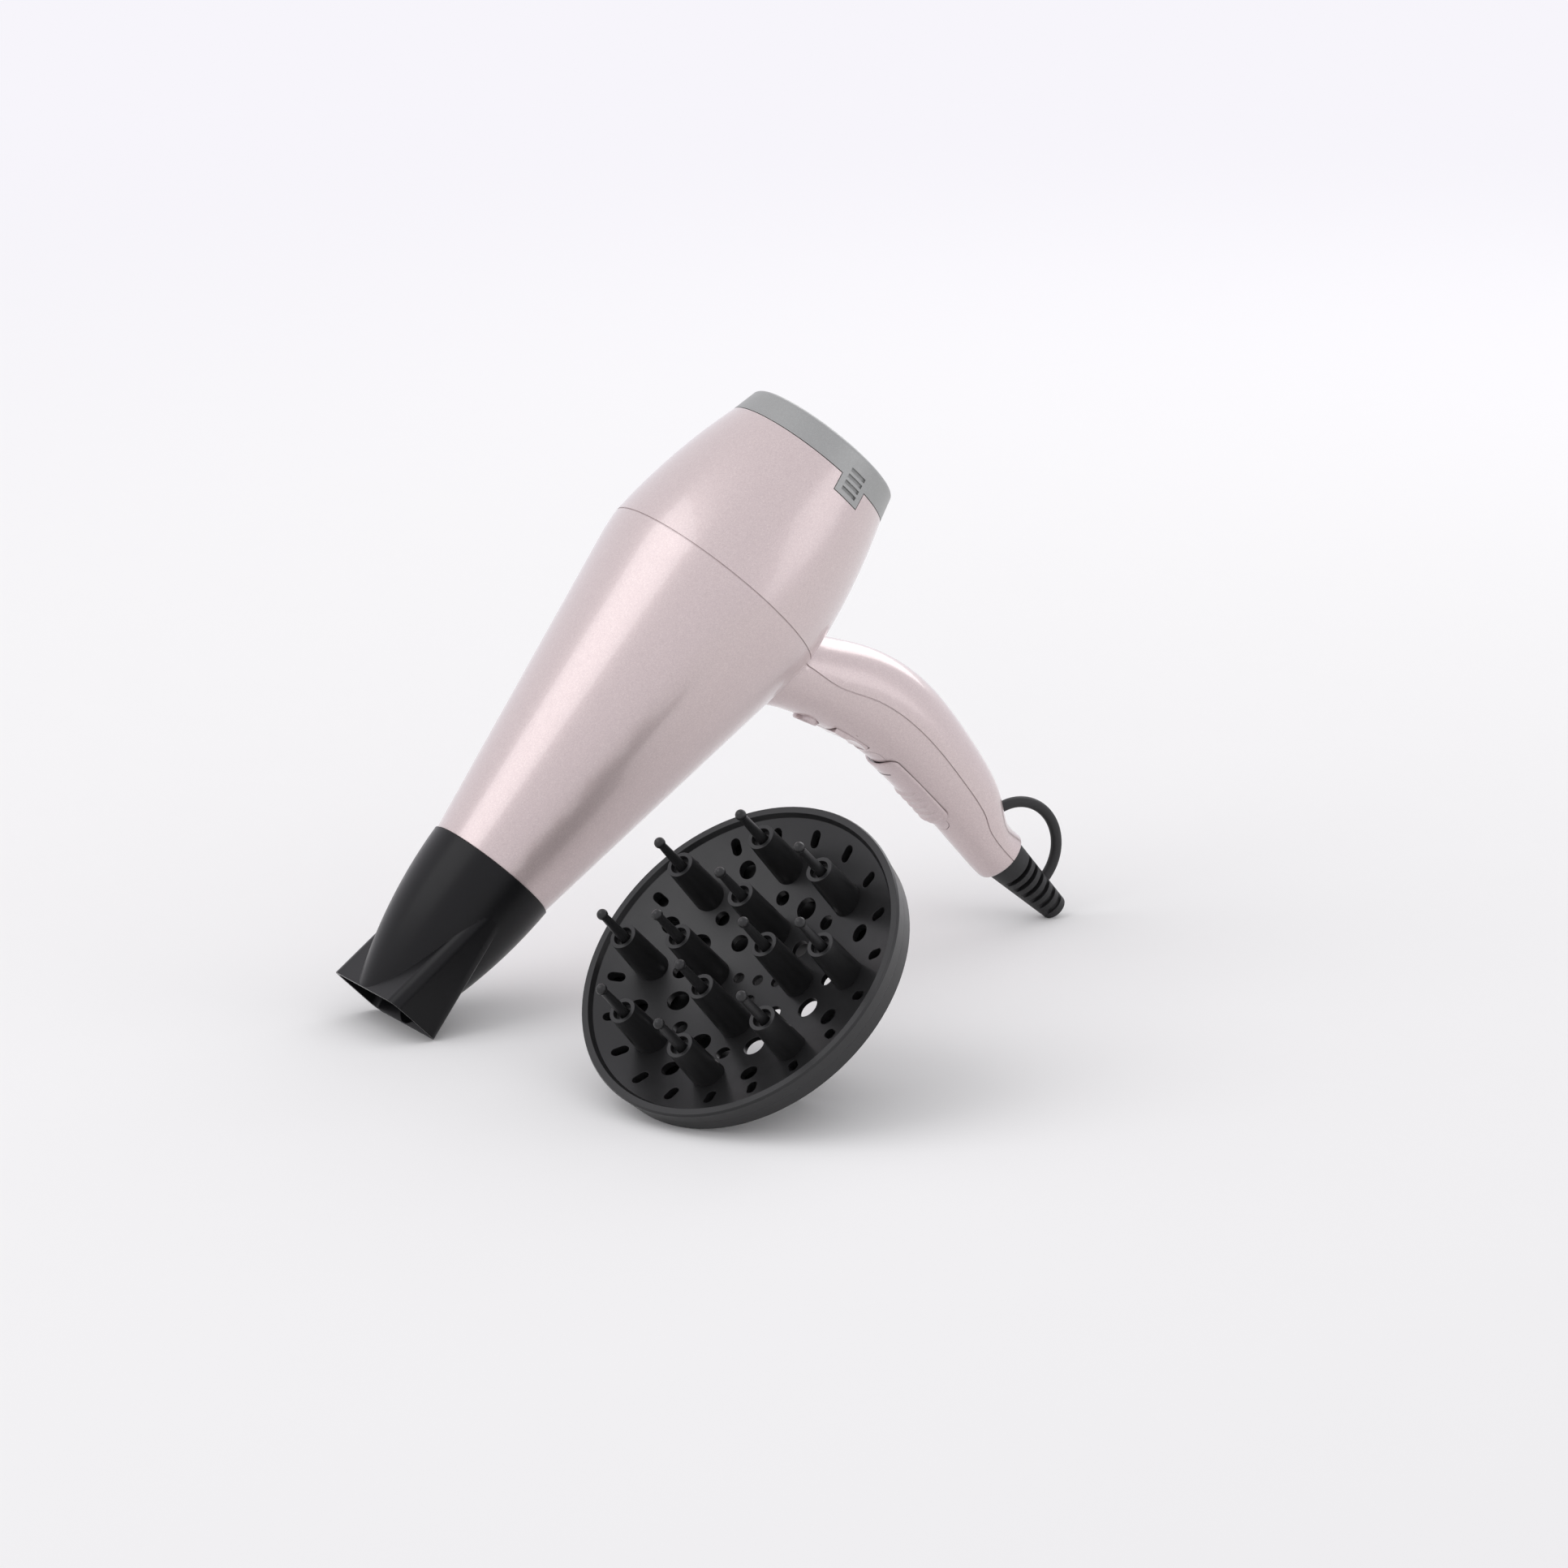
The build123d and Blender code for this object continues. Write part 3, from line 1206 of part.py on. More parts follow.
# Cord clamp on its base, with its screws
with BuildPart() as cord_clamp:
    add(front_block(CLAMP_BASE_S, clamp_head_s, clamp_top_q, clamp_end_q, CLAMP_HALF_WIDTH))
    with BuildSketch(along(handle_end_s, clamp_top_q)):
        Circle(CORD_BORE_R)
    extrude(amount=CLAMP_LENGTH, mode=Mode.SUBTRACT)
    for screw_y in (-CLAMP_SCREW_Y, CLAMP_SCREW_Y):
        add(cross_rod(CLAMP_BASE_S, clamp_head_s, CLAMP_Q, screw_y, CLAMP_SCREW_R), mode=Mode.SUBTRACT)
cord_clamp.part.label = "cord_clamp"
export_step(cord_clamp.part, "parts/cord_clamp.step")

with BuildPart() as clamp_screws:
    for screw_y in (-CLAMP_SCREW_Y, CLAMP_SCREW_Y):
        add(cross_rod(clamp_head_s, clamp_head_s + CLAMP_HEAD_T, CLAMP_Q, screw_y, CLAMP_HEAD_R))
        add(cross_rod(clamp_head_s - CLAMP_SCREW_LENGTH, clamp_head_s, CLAMP_Q, screw_y, CLAMP_SCREW_R))
clamp_screws.part.label = "clamp_screws"
export_step(clamp_screws.part, "parts/clamp_screws.step")

with BuildPart() as shell_screws:
    for q in SHELL_SCREW_Q:
        head_s = parting_s(q) + BOSS_FLOOR
        add(cross_rod(head_s, head_s + SHELL_SCREW_HEAD_T, q, 0, SHELL_SCREW_HEAD_R))
        add(cross_rod(parting_s(q) - SHELL_SCREW_BITE, head_s, q, 0, SHELL_SCREW_R))
shell_screws.part.label = "shell_screws"
export_step(shell_screws.part, "parts/shell_screws.step")

# Diffuser: it lies on the back edge of its rim and on the end of its collar
diffuser_lift = atan2(DIFFUSER_BACK_R - COLLAR_R, DIFFUSER_DEPTH - DIFFUSER_BAND)
diffuser_height = DIFFUSER_BAND * sin(diffuser_lift) + DIFFUSER_BACK_R * cos(diffuser_lift)
face_turn = radians(DIFFUSER_TURN)
face_level = Vector(cos(face_turn), sin(face_turn), 0)
face_axis = face_level * cos(diffuser_lift) + Vector(0, 0, sin(diffuser_lift))
rim_centre = Vector(DIFFUSER_X, DIFFUSER_Y, diffuser_height)
diffuser = Plane(origin=rim_centre, x_dir=Vector(0, 0, 1).cross(face_level), z_dir=face_axis)
diffuser_axis = Axis(rim_centre, face_axis)
diffuser_side = Plane(origin=rim_centre, x_dir=diffuser.x_dir, z_dir=-diffuser.y_dir)
dish_r = DIFFUSER_R - 2 * DIFFUSER_WALL
parting_r = DIFFUSER_R - (DIFFUSER_R - DIFFUSER_BACK_R) * DIFFUSER_PARTING / DIFFUSER_BAND

# Plate of the diffuser: a shallow dish with its rim and its holes
with BuildPart() as diffuser_plate:
    with BuildSketch(diffuser_side):
        with BuildLine():
            TangentArc((0, -DISH_DEPTH), (dish_r, -DIFFUSER_WALL), tangent=(1, 0))
            Polyline(
                (dish_r, -DIFFUSER_WALL),
                (dish_r + DIFFUSER_WALL / 2, 0),
                (DIFFUSER_R - DIFFUSER_WALL / 4, 0),
                (DIFFUSER_R, -DIFFUSER_WALL / 2),
                (parting_r, -DIFFUSER_PARTING),
                (dish_r, -DIFFUSER_PARTING),
            )
            TangentArc((0, -DISH_DEPTH - DIFFUSER_WALL), (dish_r, -DIFFUSER_PARTING), tangent=(1, 0))
            Line((0, -DISH_DEPTH - DIFFUSER_WALL), (0, -DISH_DEPTH))
        make_face()
    revolve(axis=diffuser_axis)
    with BuildSketch(diffuser):
        with PolarLocations(SLOT_HOLES_R, SLOT_HOLES):
            SlotOverall(SLOT_HOLE_LENGTH, SLOT_HOLE_WIDTH)
        with PolarLocations(RIM_HOLES_R, FINGERS_OUTER, FINGERS_OUTER_TURN + 180 / FINGERS_OUTER):
            Circle(RIM_HOLE_R)
        with PolarLocations(WIDE_HOLES_R, FINGERS_OUTER, FINGERS_OUTER_TURN + 180 / FINGERS_OUTER):
            Circle(WIDE_HOLE_R)
        with PolarLocations(MID_HOLES_R, FINGERS_OUTER, FINGERS_OUTER_TURN):
            Circle(MID_HOLE_R)
        with PolarLocations(FINGERS_INNER_R, FINGERS_INNER, FINGERS_INNER_TURN + 180 / FINGERS_INNER):
            Circle(INNER_HOLE_R)
        with PolarLocations(CENTRE_HOLES_R, FINGERS_INNER, FINGERS_INNER_TURN):
            Circle(CENTRE_HOLE_R)
        Circle(CENTRE_HOLE_R)
    extrude(amount=-DIFFUSER_DEPTH, mode=Mode.SUBTRACT)
diffuser_plate.part.label = "diffuser_plate"
export_step(diffuser_plate.part, "parts/diffuser_plate.step")

# Fingers of the diffuser, standing on the dish
with BuildPart() as under_dish:
    with BuildSketch(diffuser_side):
        with BuildLine():
            TangentArc((0, -DISH_DEPTH), (dish_r, -DIFFUSER_WALL), tangent=(1, 0))
            Polyline(
                (dish_r, -DIFFUSER_WALL), (dish_r, -DIFFUSER_DEPTH), (0, -DIFFUSER_DEPTH), (0, -DISH_DEPTH)
            )
        make_face()
    revolve(axis=diffuser_axis)

with BuildPart() as finger:
    with BuildSketch(diffuser_side):
        with BuildLine():
            ball_h = FINGER_HEIGHT - FINGER_BALL_R
            ball_neck = (FINGER_PIN_R, ball_h - sqrt(FINGER_BALL_R**2 - FINGER_PIN_R**2))
            ball_top = (0, FINGER_HEIGHT)
            Polyline(
                (0, -DISH_DEPTH),
                (FINGER_BASE_R, -DISH_DEPTH),
                (FINGER_TOP_R, FINGER_STEP),
                (FINGER_CUP_R, FINGER_STEP),
                (FINGER_CUP_R, FINGER_STEP - FINGER_CUP_DEPTH),
                (FINGER_BALL_R, FINGER_STEP - FINGER_CUP_DEPTH),
                ball_neck,
            )
            ThreePointArc(ball_neck, (FINGER_BALL_R, ball_h), ball_top)
            Line(ball_top, (0, -DISH_DEPTH))
        make_face()
    revolve(axis=diffuser_axis)

with BuildPart() as diffuser_fingers:
    for count, radius, turn in (
        (FINGERS_OUTER, FINGERS_OUTER_R, FINGERS_OUTER_TURN),
        (FINGERS_INNER, FINGERS_INNER_R, FINGERS_INNER_TURN),
    ):
        for index in range(count):
            angle = radians(turn + index * 360 / count)
            spot = diffuser.x_dir * (radius * cos(angle)) + diffuser.y_dir * (radius * sin(angle))
            add(finger.part.moved(Location(spot)))
    add(under_dish.part, mode=Mode.SUBTRACT)
diffuser_fingers.part.label = "diffuser_fingers"
export_step(diffuser_fingers.part, "parts/diffuser_fingers.step")

# Bell behind the dish, with the collar that fits the barrel's nose
bell_back = (DIFFUSER_BACK_R, -DIFFUSER_BAND)
bell_inside = (DIFFUSER_BACK_R - DIFFUSER_WALL, -DIFFUSER_BAND + DIFFUSER_WALL)
back_throat = -DIFFUSER_BAND - BELL_SLOPE * (DIFFUSER_BACK_R - COLLAR_R)
inside_throat = bell_inside[1] - BELL_SLOPE * (bell_inside[0] - COLLAR_BORE_R)
with BuildPart() as diffuser_bell:
    with BuildSketch(diffuser_side):
        with BuildLine():
            FilletPolyline(
                bell_back, (COLLAR_R, back_throat), (COLLAR_R, -DIFFUSER_DEPTH), radius=BELL_THROAT_R
            )
            FilletPolyline(
                bell_inside,
                (COLLAR_BORE_R, inside_throat),
                (COLLAR_BORE_R, -DIFFUSER_DEPTH),
                radius=BELL_THROAT_R,
            )
            Line((COLLAR_R, -DIFFUSER_DEPTH), (COLLAR_BORE_R, -DIFFUSER_DEPTH))
            Polyline(
                bell_inside,
                (parting_r - DIFFUSER_WALL, -DIFFUSER_PARTING),
                (parting_r, -DIFFUSER_PARTING),
                bell_back,
            )
        make_face()
    revolve(axis=diffuser_axis)
diffuser_bell.part.label = "diffuser_bell"
export_step(diffuser_bell.part, "parts/diffuser_bell.step")
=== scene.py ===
import json
import math

import bmesh
import bpy
from mathutils import Matrix, Vector


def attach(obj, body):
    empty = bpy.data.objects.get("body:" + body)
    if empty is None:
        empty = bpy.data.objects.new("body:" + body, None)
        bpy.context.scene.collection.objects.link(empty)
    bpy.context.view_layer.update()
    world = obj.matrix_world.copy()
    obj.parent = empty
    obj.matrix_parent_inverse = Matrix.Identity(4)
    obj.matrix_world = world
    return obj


bl_info = {
    "name": "Hair Dryer",
    "version": (1, 0, 0),
    "blender": (4, 5, 0),
    "location": "View3D > Sidebar > Hair Dryer",
    "description": "Finishes and small details of a hair dryer with its nozzle and its diffuser",
    "category": "Object",
}

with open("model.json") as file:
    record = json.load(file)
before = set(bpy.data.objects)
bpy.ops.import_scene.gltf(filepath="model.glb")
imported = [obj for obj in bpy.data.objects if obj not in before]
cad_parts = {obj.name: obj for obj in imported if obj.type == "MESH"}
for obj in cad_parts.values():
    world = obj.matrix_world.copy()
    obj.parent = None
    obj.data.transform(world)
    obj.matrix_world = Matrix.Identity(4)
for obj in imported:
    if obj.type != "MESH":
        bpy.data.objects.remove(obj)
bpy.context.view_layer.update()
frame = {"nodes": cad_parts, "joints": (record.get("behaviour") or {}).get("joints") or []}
fan_joint = next(joint for joint in frame["joints"] if joint["name"] == "fan_spin")

# Directions of the dryer, from the fan's joint, whose axis is that of the barrel
REARWARD = Vector(fan_joint["axis"]).normalized()
SIDEWAYS = Vector((0, 1, 0))
HANDLEWARD = REARWARD.cross(SIDEWAYS) * -1
FAN_POINT = Vector(fan_joint["pos_m"])
BARREL_TURN = Matrix((HANDLEWARD, SIDEWAYS, REARWARD)).transposed()

# Fan and thumb pad, in metres along the barrel from its front end,
# and the pad's reach from the barrel's axis
FAN_ALONG = 0.17
PAD_ALONG = 0.13282
PAD_REACH = 0.1265

# The handle's front under the pad: its slope at the pad's middle, and its bend for each metre
PAD_SLOPE = 0.0233
PAD_BEND = 1.262

# Mesh of the pad and of its line, in metres
PAD_CUT_ALONG = 0.0003
PAD_CUT_ACROSS = 0.0008
LINE_CUT = 0.0006
CUT_TOLERANCE = 0.0000001
RIB_END = 0.001
LINE_THICKNESS = 0.00016
LINE_SINK = 0.0001

# Rounding of the pad, and what counts as its top, as shares of its thickness
CORNER_SEGMENTS = 6
RIM_SEGMENTS = 3
RIM_SHARE = 0.5
TOP_SHARE = 0.98

# Points of a CAD mesh that lie closer than this are one point, in metres
WELD_DISTANCE = 0.000001

# Samples of the shading that makes edges look rounded
EDGE_SAMPLES = 6

# Stage: lengths in metres, but for the camera's sensor
CAMERA_AIM = Vector((-0.0032, 0.0293, 0.0884))
VIEW_WIDTH = 0.595
VIEW_END = 50
SENSOR_MILLIMETRES = 36
LAMP_AIM = Vector((0, 0, 0.1))
FLOOR_SEGMENTS = 96
FLOOR_GRAIN = 0.05
FADE_START = 0.6
FADE_END = 2.2


def tone(red, green, blue):
    """Colour as a shader reads it, from the three numbers of a colour picker."""
    return tuple(
        c / 12.92 if c <= 0.04045 else ((c + 0.055) / 1.055) ** 2.4
        for c in (red / 255, green / 255, blue / 255)
    )


# Second colours of some finishes
RUST = tone(112, 84, 66)
PALE_MICA = tone(222, 208, 180)
HEAT_TINT = tone(112, 92, 96)
# Painted shade: the near black seen through the holes of the gauze, between its wires
GAUZE_HOLE_SHADE = tone(24, 24, 25)
MAGNET_GREY = tone(74, 73, 74)

# White that even black plastic takes on from dust and wear
HAZE = 0.006


def colour_property(name, description, default):
    return bpy.props.FloatVectorProperty(
        name=name, description=description, default=default, subtype="COLOR", size=3, min=0, max=1
    )


def length_property(name, description, default):
    return bpy.props.FloatProperty(
        name=name, description=description, default=default, min=0, unit="LENGTH", precision=5
    )


def angle_property(name, description, degrees):
    return bpy.props.FloatProperty(
        name=name, description=description, default=math.radians(degrees), subtype="ANGLE"
    )


def power_property(name, description, default):
    return bpy.props.FloatProperty(
        name=name, description=description, default=default, min=0, unit="POWER"
    )


def share_property(name, description, default):
    return bpy.props.FloatProperty(
        name=name, description=description, default=default, min=0, max=1, subtype="FACTOR"
    )


class DryerFinishes(bpy.types.PropertyGroup):
    pearl: colour_property("Pearl Pink", "Paint of the two shells", tone(206, 190, 190))
    pearl_flake: colour_property("Pearl Flake", "Bright flakes in the paint", tone(234, 221, 218))
    pearl_shade: colour_property("Pearl Shade", "Darker flakes in the paint", tone(179, 163, 165))
    control: colour_property("Control Pink", "Plastic of the switches", tone(202, 186, 187))
    grey: colour_property("Cap Grey", "Satin paint of the rear cap", tone(158, 159, 158))
    nozzle: colour_property("Nozzle Black", "Plastic of the nozzle", tone(15, 15, 17))
    diffuser: colour_property("Diffuser Black", "Plastic of the diffuser", tone(30, 30, 31))
    rubber: colour_property("Rubber Black", "Rubber of the cord guard", tone(30, 30, 31))
    inner_black: colour_property(
        "Inner Black", "Plastic of the fan and the switches", tone(40, 40, 41)
    )
    ivory: colour_property("Ivory", "Heat resistant plastic of the air duct", tone(226, 221, 208))
    steel: colour_property("Steel", "Bare steel", tone(178, 178, 176))
    iron: colour_property("Core Iron", "Stacked iron of the armature", tone(92, 90, 88))
    brass: colour_property("Bush Brass", "Sintered bushes", tone(176, 140, 82))
    mica: colour_property("Mica", "Mica sheet of the heater", tone(198, 178, 140))
    wire: colour_property("Heater Wire", "Resistance wire", tone(128, 122, 118))
    board: colour_property("Board Green", "Solder mask of the switch board", tone(28, 92, 58))
    copper: colour_property("Board Copper", "Tracks under the mask", tone(66, 128, 74))
    mark: colour_property("Mark Grey", "Printed line on the thumb pad", tone(120, 108, 112))
    flake_size: length_property("Flake Size", "Distance between flakes in the paint", 0.00028)
    grain_size: length_property("Grain Size", "Distance between grains of moulded plastic", 0.0004)
    edge_softness: length_property(
        "Edge Softness", "Rounding that the light sees on moulded edges", 0.0003
    )
    paint_metal: share_property("Paint Metal", "How much the pearl paint reflects as metal", 0.45)


class DryerDetails(bpy.types.PropertyGroup):
    smooth_angle: bpy.props.FloatProperty(
        name="Smooth Angle", description="Edges flatter than this are shaded smooth",
        default=math.radians(28), min=0, max=math.pi, subtype="ANGLE",
    )
    pad_length: length_property("Pad Length", "Length of the slider's thumb pad", 0.0386)
    pad_width: length_property("Pad Width", "Width of the slider's thumb pad", 0.021)
    pad_height: length_property("Pad Height", "Thickness of the slider's thumb pad", 0.0009)
    pad_corner: length_property("Pad Corner", "Corner radius of the thumb pad", 0.0035)
    pad_crown: length_property("Pad Crown", "Radius of the thumb pad across the handle", 0.0145)
    rib_height: length_property("Rib Height", "Height of the ribs on the thumb pad", 0.0009)
    rib_width: length_property("Rib Width", "Width of the ribs on the thumb pad", 0.0019)
    rib_pitch: length_property("Rib Pitch", "Distance between the ribs", 0.004)
    rib_margin: length_property(
        "Rib Margin", "From the pad's sides to the ends of the ribs", 0.002
    )
    rib_start: length_property("Rib Start", "From the pad's middle to the first rib", 0.0005)
    rib_count: bpy.props.IntProperty(
        name="Ribs", description="Ribs on the thumb pad", default=5, min=1
    )
    mark_length: length_property("Mark Length", "Length of the line on the thumb pad", 0.0104)
    mark_width: length_property("Mark Width", "Width of the line on the thumb pad", 0.0006)
    mark_place: length_property("Mark Place", "From the pad's middle up to the line", 0.0125)


class DryerStage(bpy.types.PropertyGroup):
    floor: colour_property("Floor", "Pale floor under the object", tone(242, 241, 243))
    wall: colour_property("Wall", "Pale background", tone(247, 245, 251))
    floor_size: length_property("Floor Size", "Radius of the floor", 9.0)
    camera_distance: length_property("Camera Distance", "From the camera to the object", 2.5)
    azimuth: angle_property("Azimuth", "Camera's turn round the object", -30.5)
    elevation: angle_property("Elevation", "Camera's height over the object", 15)
    key_power: power_property("Key Light", "Power of the main soft light", 10)
    back_power: power_property("Back Light", "Power of the soft light behind", 10)
    fill_power: power_property("Fill Light", "Power of the weak light at the right", 3)
    sky: share_property("Room Light", "Strength of the even light of the room", 0.8)


def add_node(tree, kind, inputs=None, **settings):
    """New shader node with its settings, values and links."""
    made = tree.nodes.new("ShaderNode" + kind)
    for key, value in settings.items():
        setattr(made, key, value)
    for key, value in (inputs or {}).items():
        socket = made.inputs[key]
        if isinstance(value, bpy.types.NodeSocket):
            tree.links.new(value, socket)
        else:
            socket.default_value = value
    return made


def rgba(colour, factor=1.0):
    """Colour with its opacity, made darker or paler by a factor."""
    return (*(min(1.0, c * factor) for c in colour[:3]), 1.0)


def larger(tree, first, second):
    """The larger of two values."""
    return add_node(tree, "Math", {0: first, 1: second}, operation="MAXIMUM").outputs[0]


def seen_rays(tree):
    """One for rays from the camera, reflections and glass, and nothing for the room's light."""
    rays = add_node(tree, "LightPath").outputs
    seen = larger(tree, rays["Is Camera Ray"], rays["Is Glossy Ray"])
    return larger(tree, seen, rays["Is Transmission Ray"])


def object_spot(tree):
    """Place on the object, in metres."""
    return add_node(tree, "TexCoord").outputs["Object"]


def barrel_spot(tree, stretch=None):
    """Place measured from the fan, with z along the barrel, and scaled by a stretch."""
    place = {
        "Vector": object_spot(tree),
        "Location": tuple(FAN_POINT),
        "Rotation": tuple(BARREL_TURN.to_euler()),
    }
    spot = add_node(tree, "Mapping", place, vector_type="TEXTURE").outputs["Vector"]
    if stretch is None:
        return spot
    return add_node(tree, "Mapping", {"Vector": spot, "Scale": stretch}).outputs["Vector"]


def noise(tree, spot, size, detail=2.0):
    """Soft noise whose patches are about as wide as the size, in metres."""
    made = add_node(tree, "TexNoise", {"Vector": spot, "Scale": 1 / size, "Detail": detail})
    return made.outputs["Fac"]


def cells(tree, spot, size):
    """Random value for each cell, with cells of the size, in metres."""
    made = add_node(tree, "TexVoronoi", {"Vector": spot, "Scale": 1 / size})
    split = add_node(tree, "SeparateColor", {"Color": made.outputs["Color"]})
    return split.outputs["Red"]


def bands(tree, spot, direction, scale, distortion=0.0):
    """Soft bands that follow each other along a direction."""
    made = add_node(
        tree, "TexWave", {"Vector": spot, "Scale": scale, "Distortion": distortion},
        wave_type="BANDS", bands_direction=direction, wave_profile="SIN",
    )
    return made.outputs["Fac"]


def between(tree, value, low, high, start=0.0, end=1.0):
    """Value that goes from low to high while another goes from start to end."""
    made = add_node(
        tree, "MapRange",
        {"Value": value, "From Min": start, "From Max": end, "To Min": low, "To Max": high},
    )
    return made.outputs["Result"]


def mixed(tree, share, first, second):
    """Colour between two colours."""
    # The mix node has sockets of one name for each type, so those for colours go by number
    made = add_node(tree, "Mix", {0: share, 6: first, 7: second}, data_type="RGBA")
    return made.outputs[2]


def relief(tree, shader, height, depth, softness=0.0, strength=1.0):
    """Fine relief of a surface, over edges that catch the light."""
    bump = add_node(tree, "Bump", {"Height": height, "Distance": depth, "Strength": strength})
    if softness:
        edge = add_node(tree, "Bevel", {"Radius": softness}, samples=EDGE_SAMPLES)
        tree.links.new(edge.outputs["Normal"], bump.inputs["Normal"])
    tree.links.new(bump.outputs["Normal"], shader.inputs["Normal"])


def new_finish(name, **values):
    """Material with its constant values on the shader's own sockets."""
    material = bpy.data.materials.new(name)
    material.use_nodes = True
    tree = material.node_tree
    shader = tree.nodes["Principled BSDF"]
    for key, value in values.items():
        shader.inputs[key.replace("_", " ").title().replace("Ior", "IOR")].default_value = value
    return material, tree, shader


def connect(tree, shader, colour, roughness=None):
    """Gives the shader its colour, and its roughness where that varies."""
    tree.links.new(colour, shader.inputs["Base Color"])
    if roughness is not None:
        tree.links.new(roughness, shader.inputs["Roughness"])


def pearl_paint(name, colour, finishes):
    """Pearl paint: bright and dark flakes under a smooth clear coat."""
    material, tree, shader = new_finish(
        name, metallic=finishes.paint_metal, coat_weight=0.8, coat_roughness=0.05
    )
    spot = object_spot(tree)
    size = finishes.flake_size
    bright = between(tree, cells(tree, spot, size), low=0.0, high=0.4, start=0.55)
    dark = between(tree, cells(tree, spot, size * 1.7), low=0.0, high=0.25, start=0.6)
    cloud = between(tree, noise(tree, spot, size=0.03, detail=3.0), low=0.0, high=0.18)
    body = mixed(tree, bright, rgba(colour), rgba(finishes.pearl_flake))
    body = mixed(tree, dark, body, rgba(finishes.pearl_shade))
    body = mixed(tree, cloud, body, rgba(colour))
    connect(tree, shader, body, between(tree, noise(tree, spot, size=0.004), low=0.27, high=0.34))
    ripple = noise(tree, spot, size=0.0016)
    relief(tree, shader, ripple, depth=0.00001, softness=finishes.edge_softness, strength=0.25)
    return material


def moulded(name, colour, finishes, roughness, depth=0.00003, grain=1.0, lift=0.35, shine=0.45):
    """Moulded plastic with the fine spark eroded grain of its tool."""
    material, tree, shader = new_finish(name, specular_ior_level=shine)
    spot = object_spot(tree)
    size = finishes.grain_size * grain
    pale = tuple(c + (1 - c) * HAZE + c * lift for c in colour[:3])
    cloud = between(tree, noise(tree, spot, size=0.02, detail=3.0), low=0.0, high=0.35)
    speck = between(tree, cells(tree, spot, size), low=0.0, high=0.3, start=0.5)
    body = mixed(tree, cloud, rgba(colour), rgba(pale))
    body = mixed(tree, speck, body, rgba(colour, 0.8))
    wear = noise(tree, spot, size=0.006)
    connect(tree, shader, body, between(tree, wear, low=roughness - 0.04, high=roughness + 0.05))
    pits = noise(tree, spot, size, detail=1.0)
    relief(tree, shader, pits, depth, softness=finishes.edge_softness, strength=0.5)
    return material


def satin_paint(name, colour, finishes):
    """Satin grey paint with a fine metallic flake."""
    material, tree, shader = new_finish(name, metallic=0.55, coat_weight=0.15, coat_roughness=0.35)
    spot = object_spot(tree)
    flake = between(
        tree, cells(tree, spot, finishes.flake_size * 0.8), low=0.0, high=0.4, start=0.5
    )
    body = mixed(tree, flake, rgba(colour), rgba(colour, 1.35))
    connect(tree, shader, body, between(tree, noise(tree, spot, size=0.005), low=0.4, high=0.5))
    ripple = noise(tree, spot, size=0.0008)
    relief(tree, shader, ripple, depth=0.00001, softness=finishes.edge_softness, strength=0.4)
    return material


def bare_metal(name, colour, roughness, size, stretch=None, depth=0.00001):
    """Bare metal with fine lines, which run along the directions with a small stretch."""
    material, tree, shader = new_finish(name, metallic=1.0)
    lines = noise(tree, barrel_spot(tree, stretch), size, detail=3.0)
    body = mixed(tree, lines, rgba(colour, 0.7), rgba(colour))
    connect(tree, shader, body, between(tree, lines, low=roughness + 0.1, high=roughness - 0.06))
    relief(tree, shader, lines, depth, strength=0.4)
    return material


def stacked_iron(name, colour):
    """Iron sheets stacked along the motor's shaft."""
    material, tree, shader = new_finish(name, metallic=0.8, roughness=0.5)
    spot = barrel_spot(tree)
    sheets = bands(tree, spot, "Z", scale=320, distortion=0.4)
    stain = noise(tree, spot, size=0.006, detail=4.0)
    body = mixed(tree, sheets, rgba(colour, 0.55), rgba(colour))
    rust = between(tree, stain, low=0.0, high=0.25, start=0.5, end=0.8)
    connect(tree, shader, mixed(tree, rust, body, rgba(RUST)))
    relief(tree, shader, sheets, depth=0.00005)
    return material


def mica_sheet(name, colour):
    """Pressed mica: silvery flakes in a pale amber sheet."""
    material, tree, shader = new_finish(name, sheen_weight=0.15, specular_ior_level=0.7)
    spot = object_spot(tree)
    flakes = cells(tree, spot, size=0.0025)
    cloud = between(tree, noise(tree, spot, size=0.012, detail=4.0), low=0.0, high=0.6)
    body = mixed(tree, flakes, rgba(colour, 0.75), rgba(colour))
    body = mixed(tree, cloud, body, rgba(PALE_MICA))
    connect(tree, shader, body, between(tree, flakes, low=0.22, high=0.5))
    relief(tree, shader, flakes, depth=0.00005, strength=0.4)
    return material


def heater_wire(name, colour):
    """Resistance wire, tinted by its first heating."""
    material, tree, shader = new_finish(name, metallic=1.0)
    spot = barrel_spot(tree)
    heat = noise(tree, spot, size=0.018)
    tint = between(tree, heat, low=0.0, high=1.0, start=0.35, end=0.65)
    body = mixed(tree, tint, rgba(colour), rgba(HEAT_TINT))
    connect(tree, shader, body, between(tree, heat, low=0.35, high=0.5))
    relief(tree, shader, noise(tree, spot, size=0.0004), depth=0.00001)
    return material


def woven_gauze(name, colour):
    """Steel gauze: two sets of wires that cross over and under, with painted shade in its holes.
    """
    material, tree, shader = new_finish(name, metallic=0.9)
    spot = barrel_spot(tree)
    weave = larger(tree, bands(tree, spot, "X", scale=400), bands(tree, spot, "Y", scale=400))
    steel = between(tree, weave, low=0.0, high=1.0, start=0.35, end=0.8)
    # Where the wires leave holes the colour is painted shade, near black, not steel
    body = mixed(tree, steel, rgba(GAUZE_HOLE_SHADE), rgba(colour))
    connect(tree, shader, body, between(tree, weave, low=0.7, high=0.35))
    relief(tree, shader, weave, depth=0.00012)
    return material


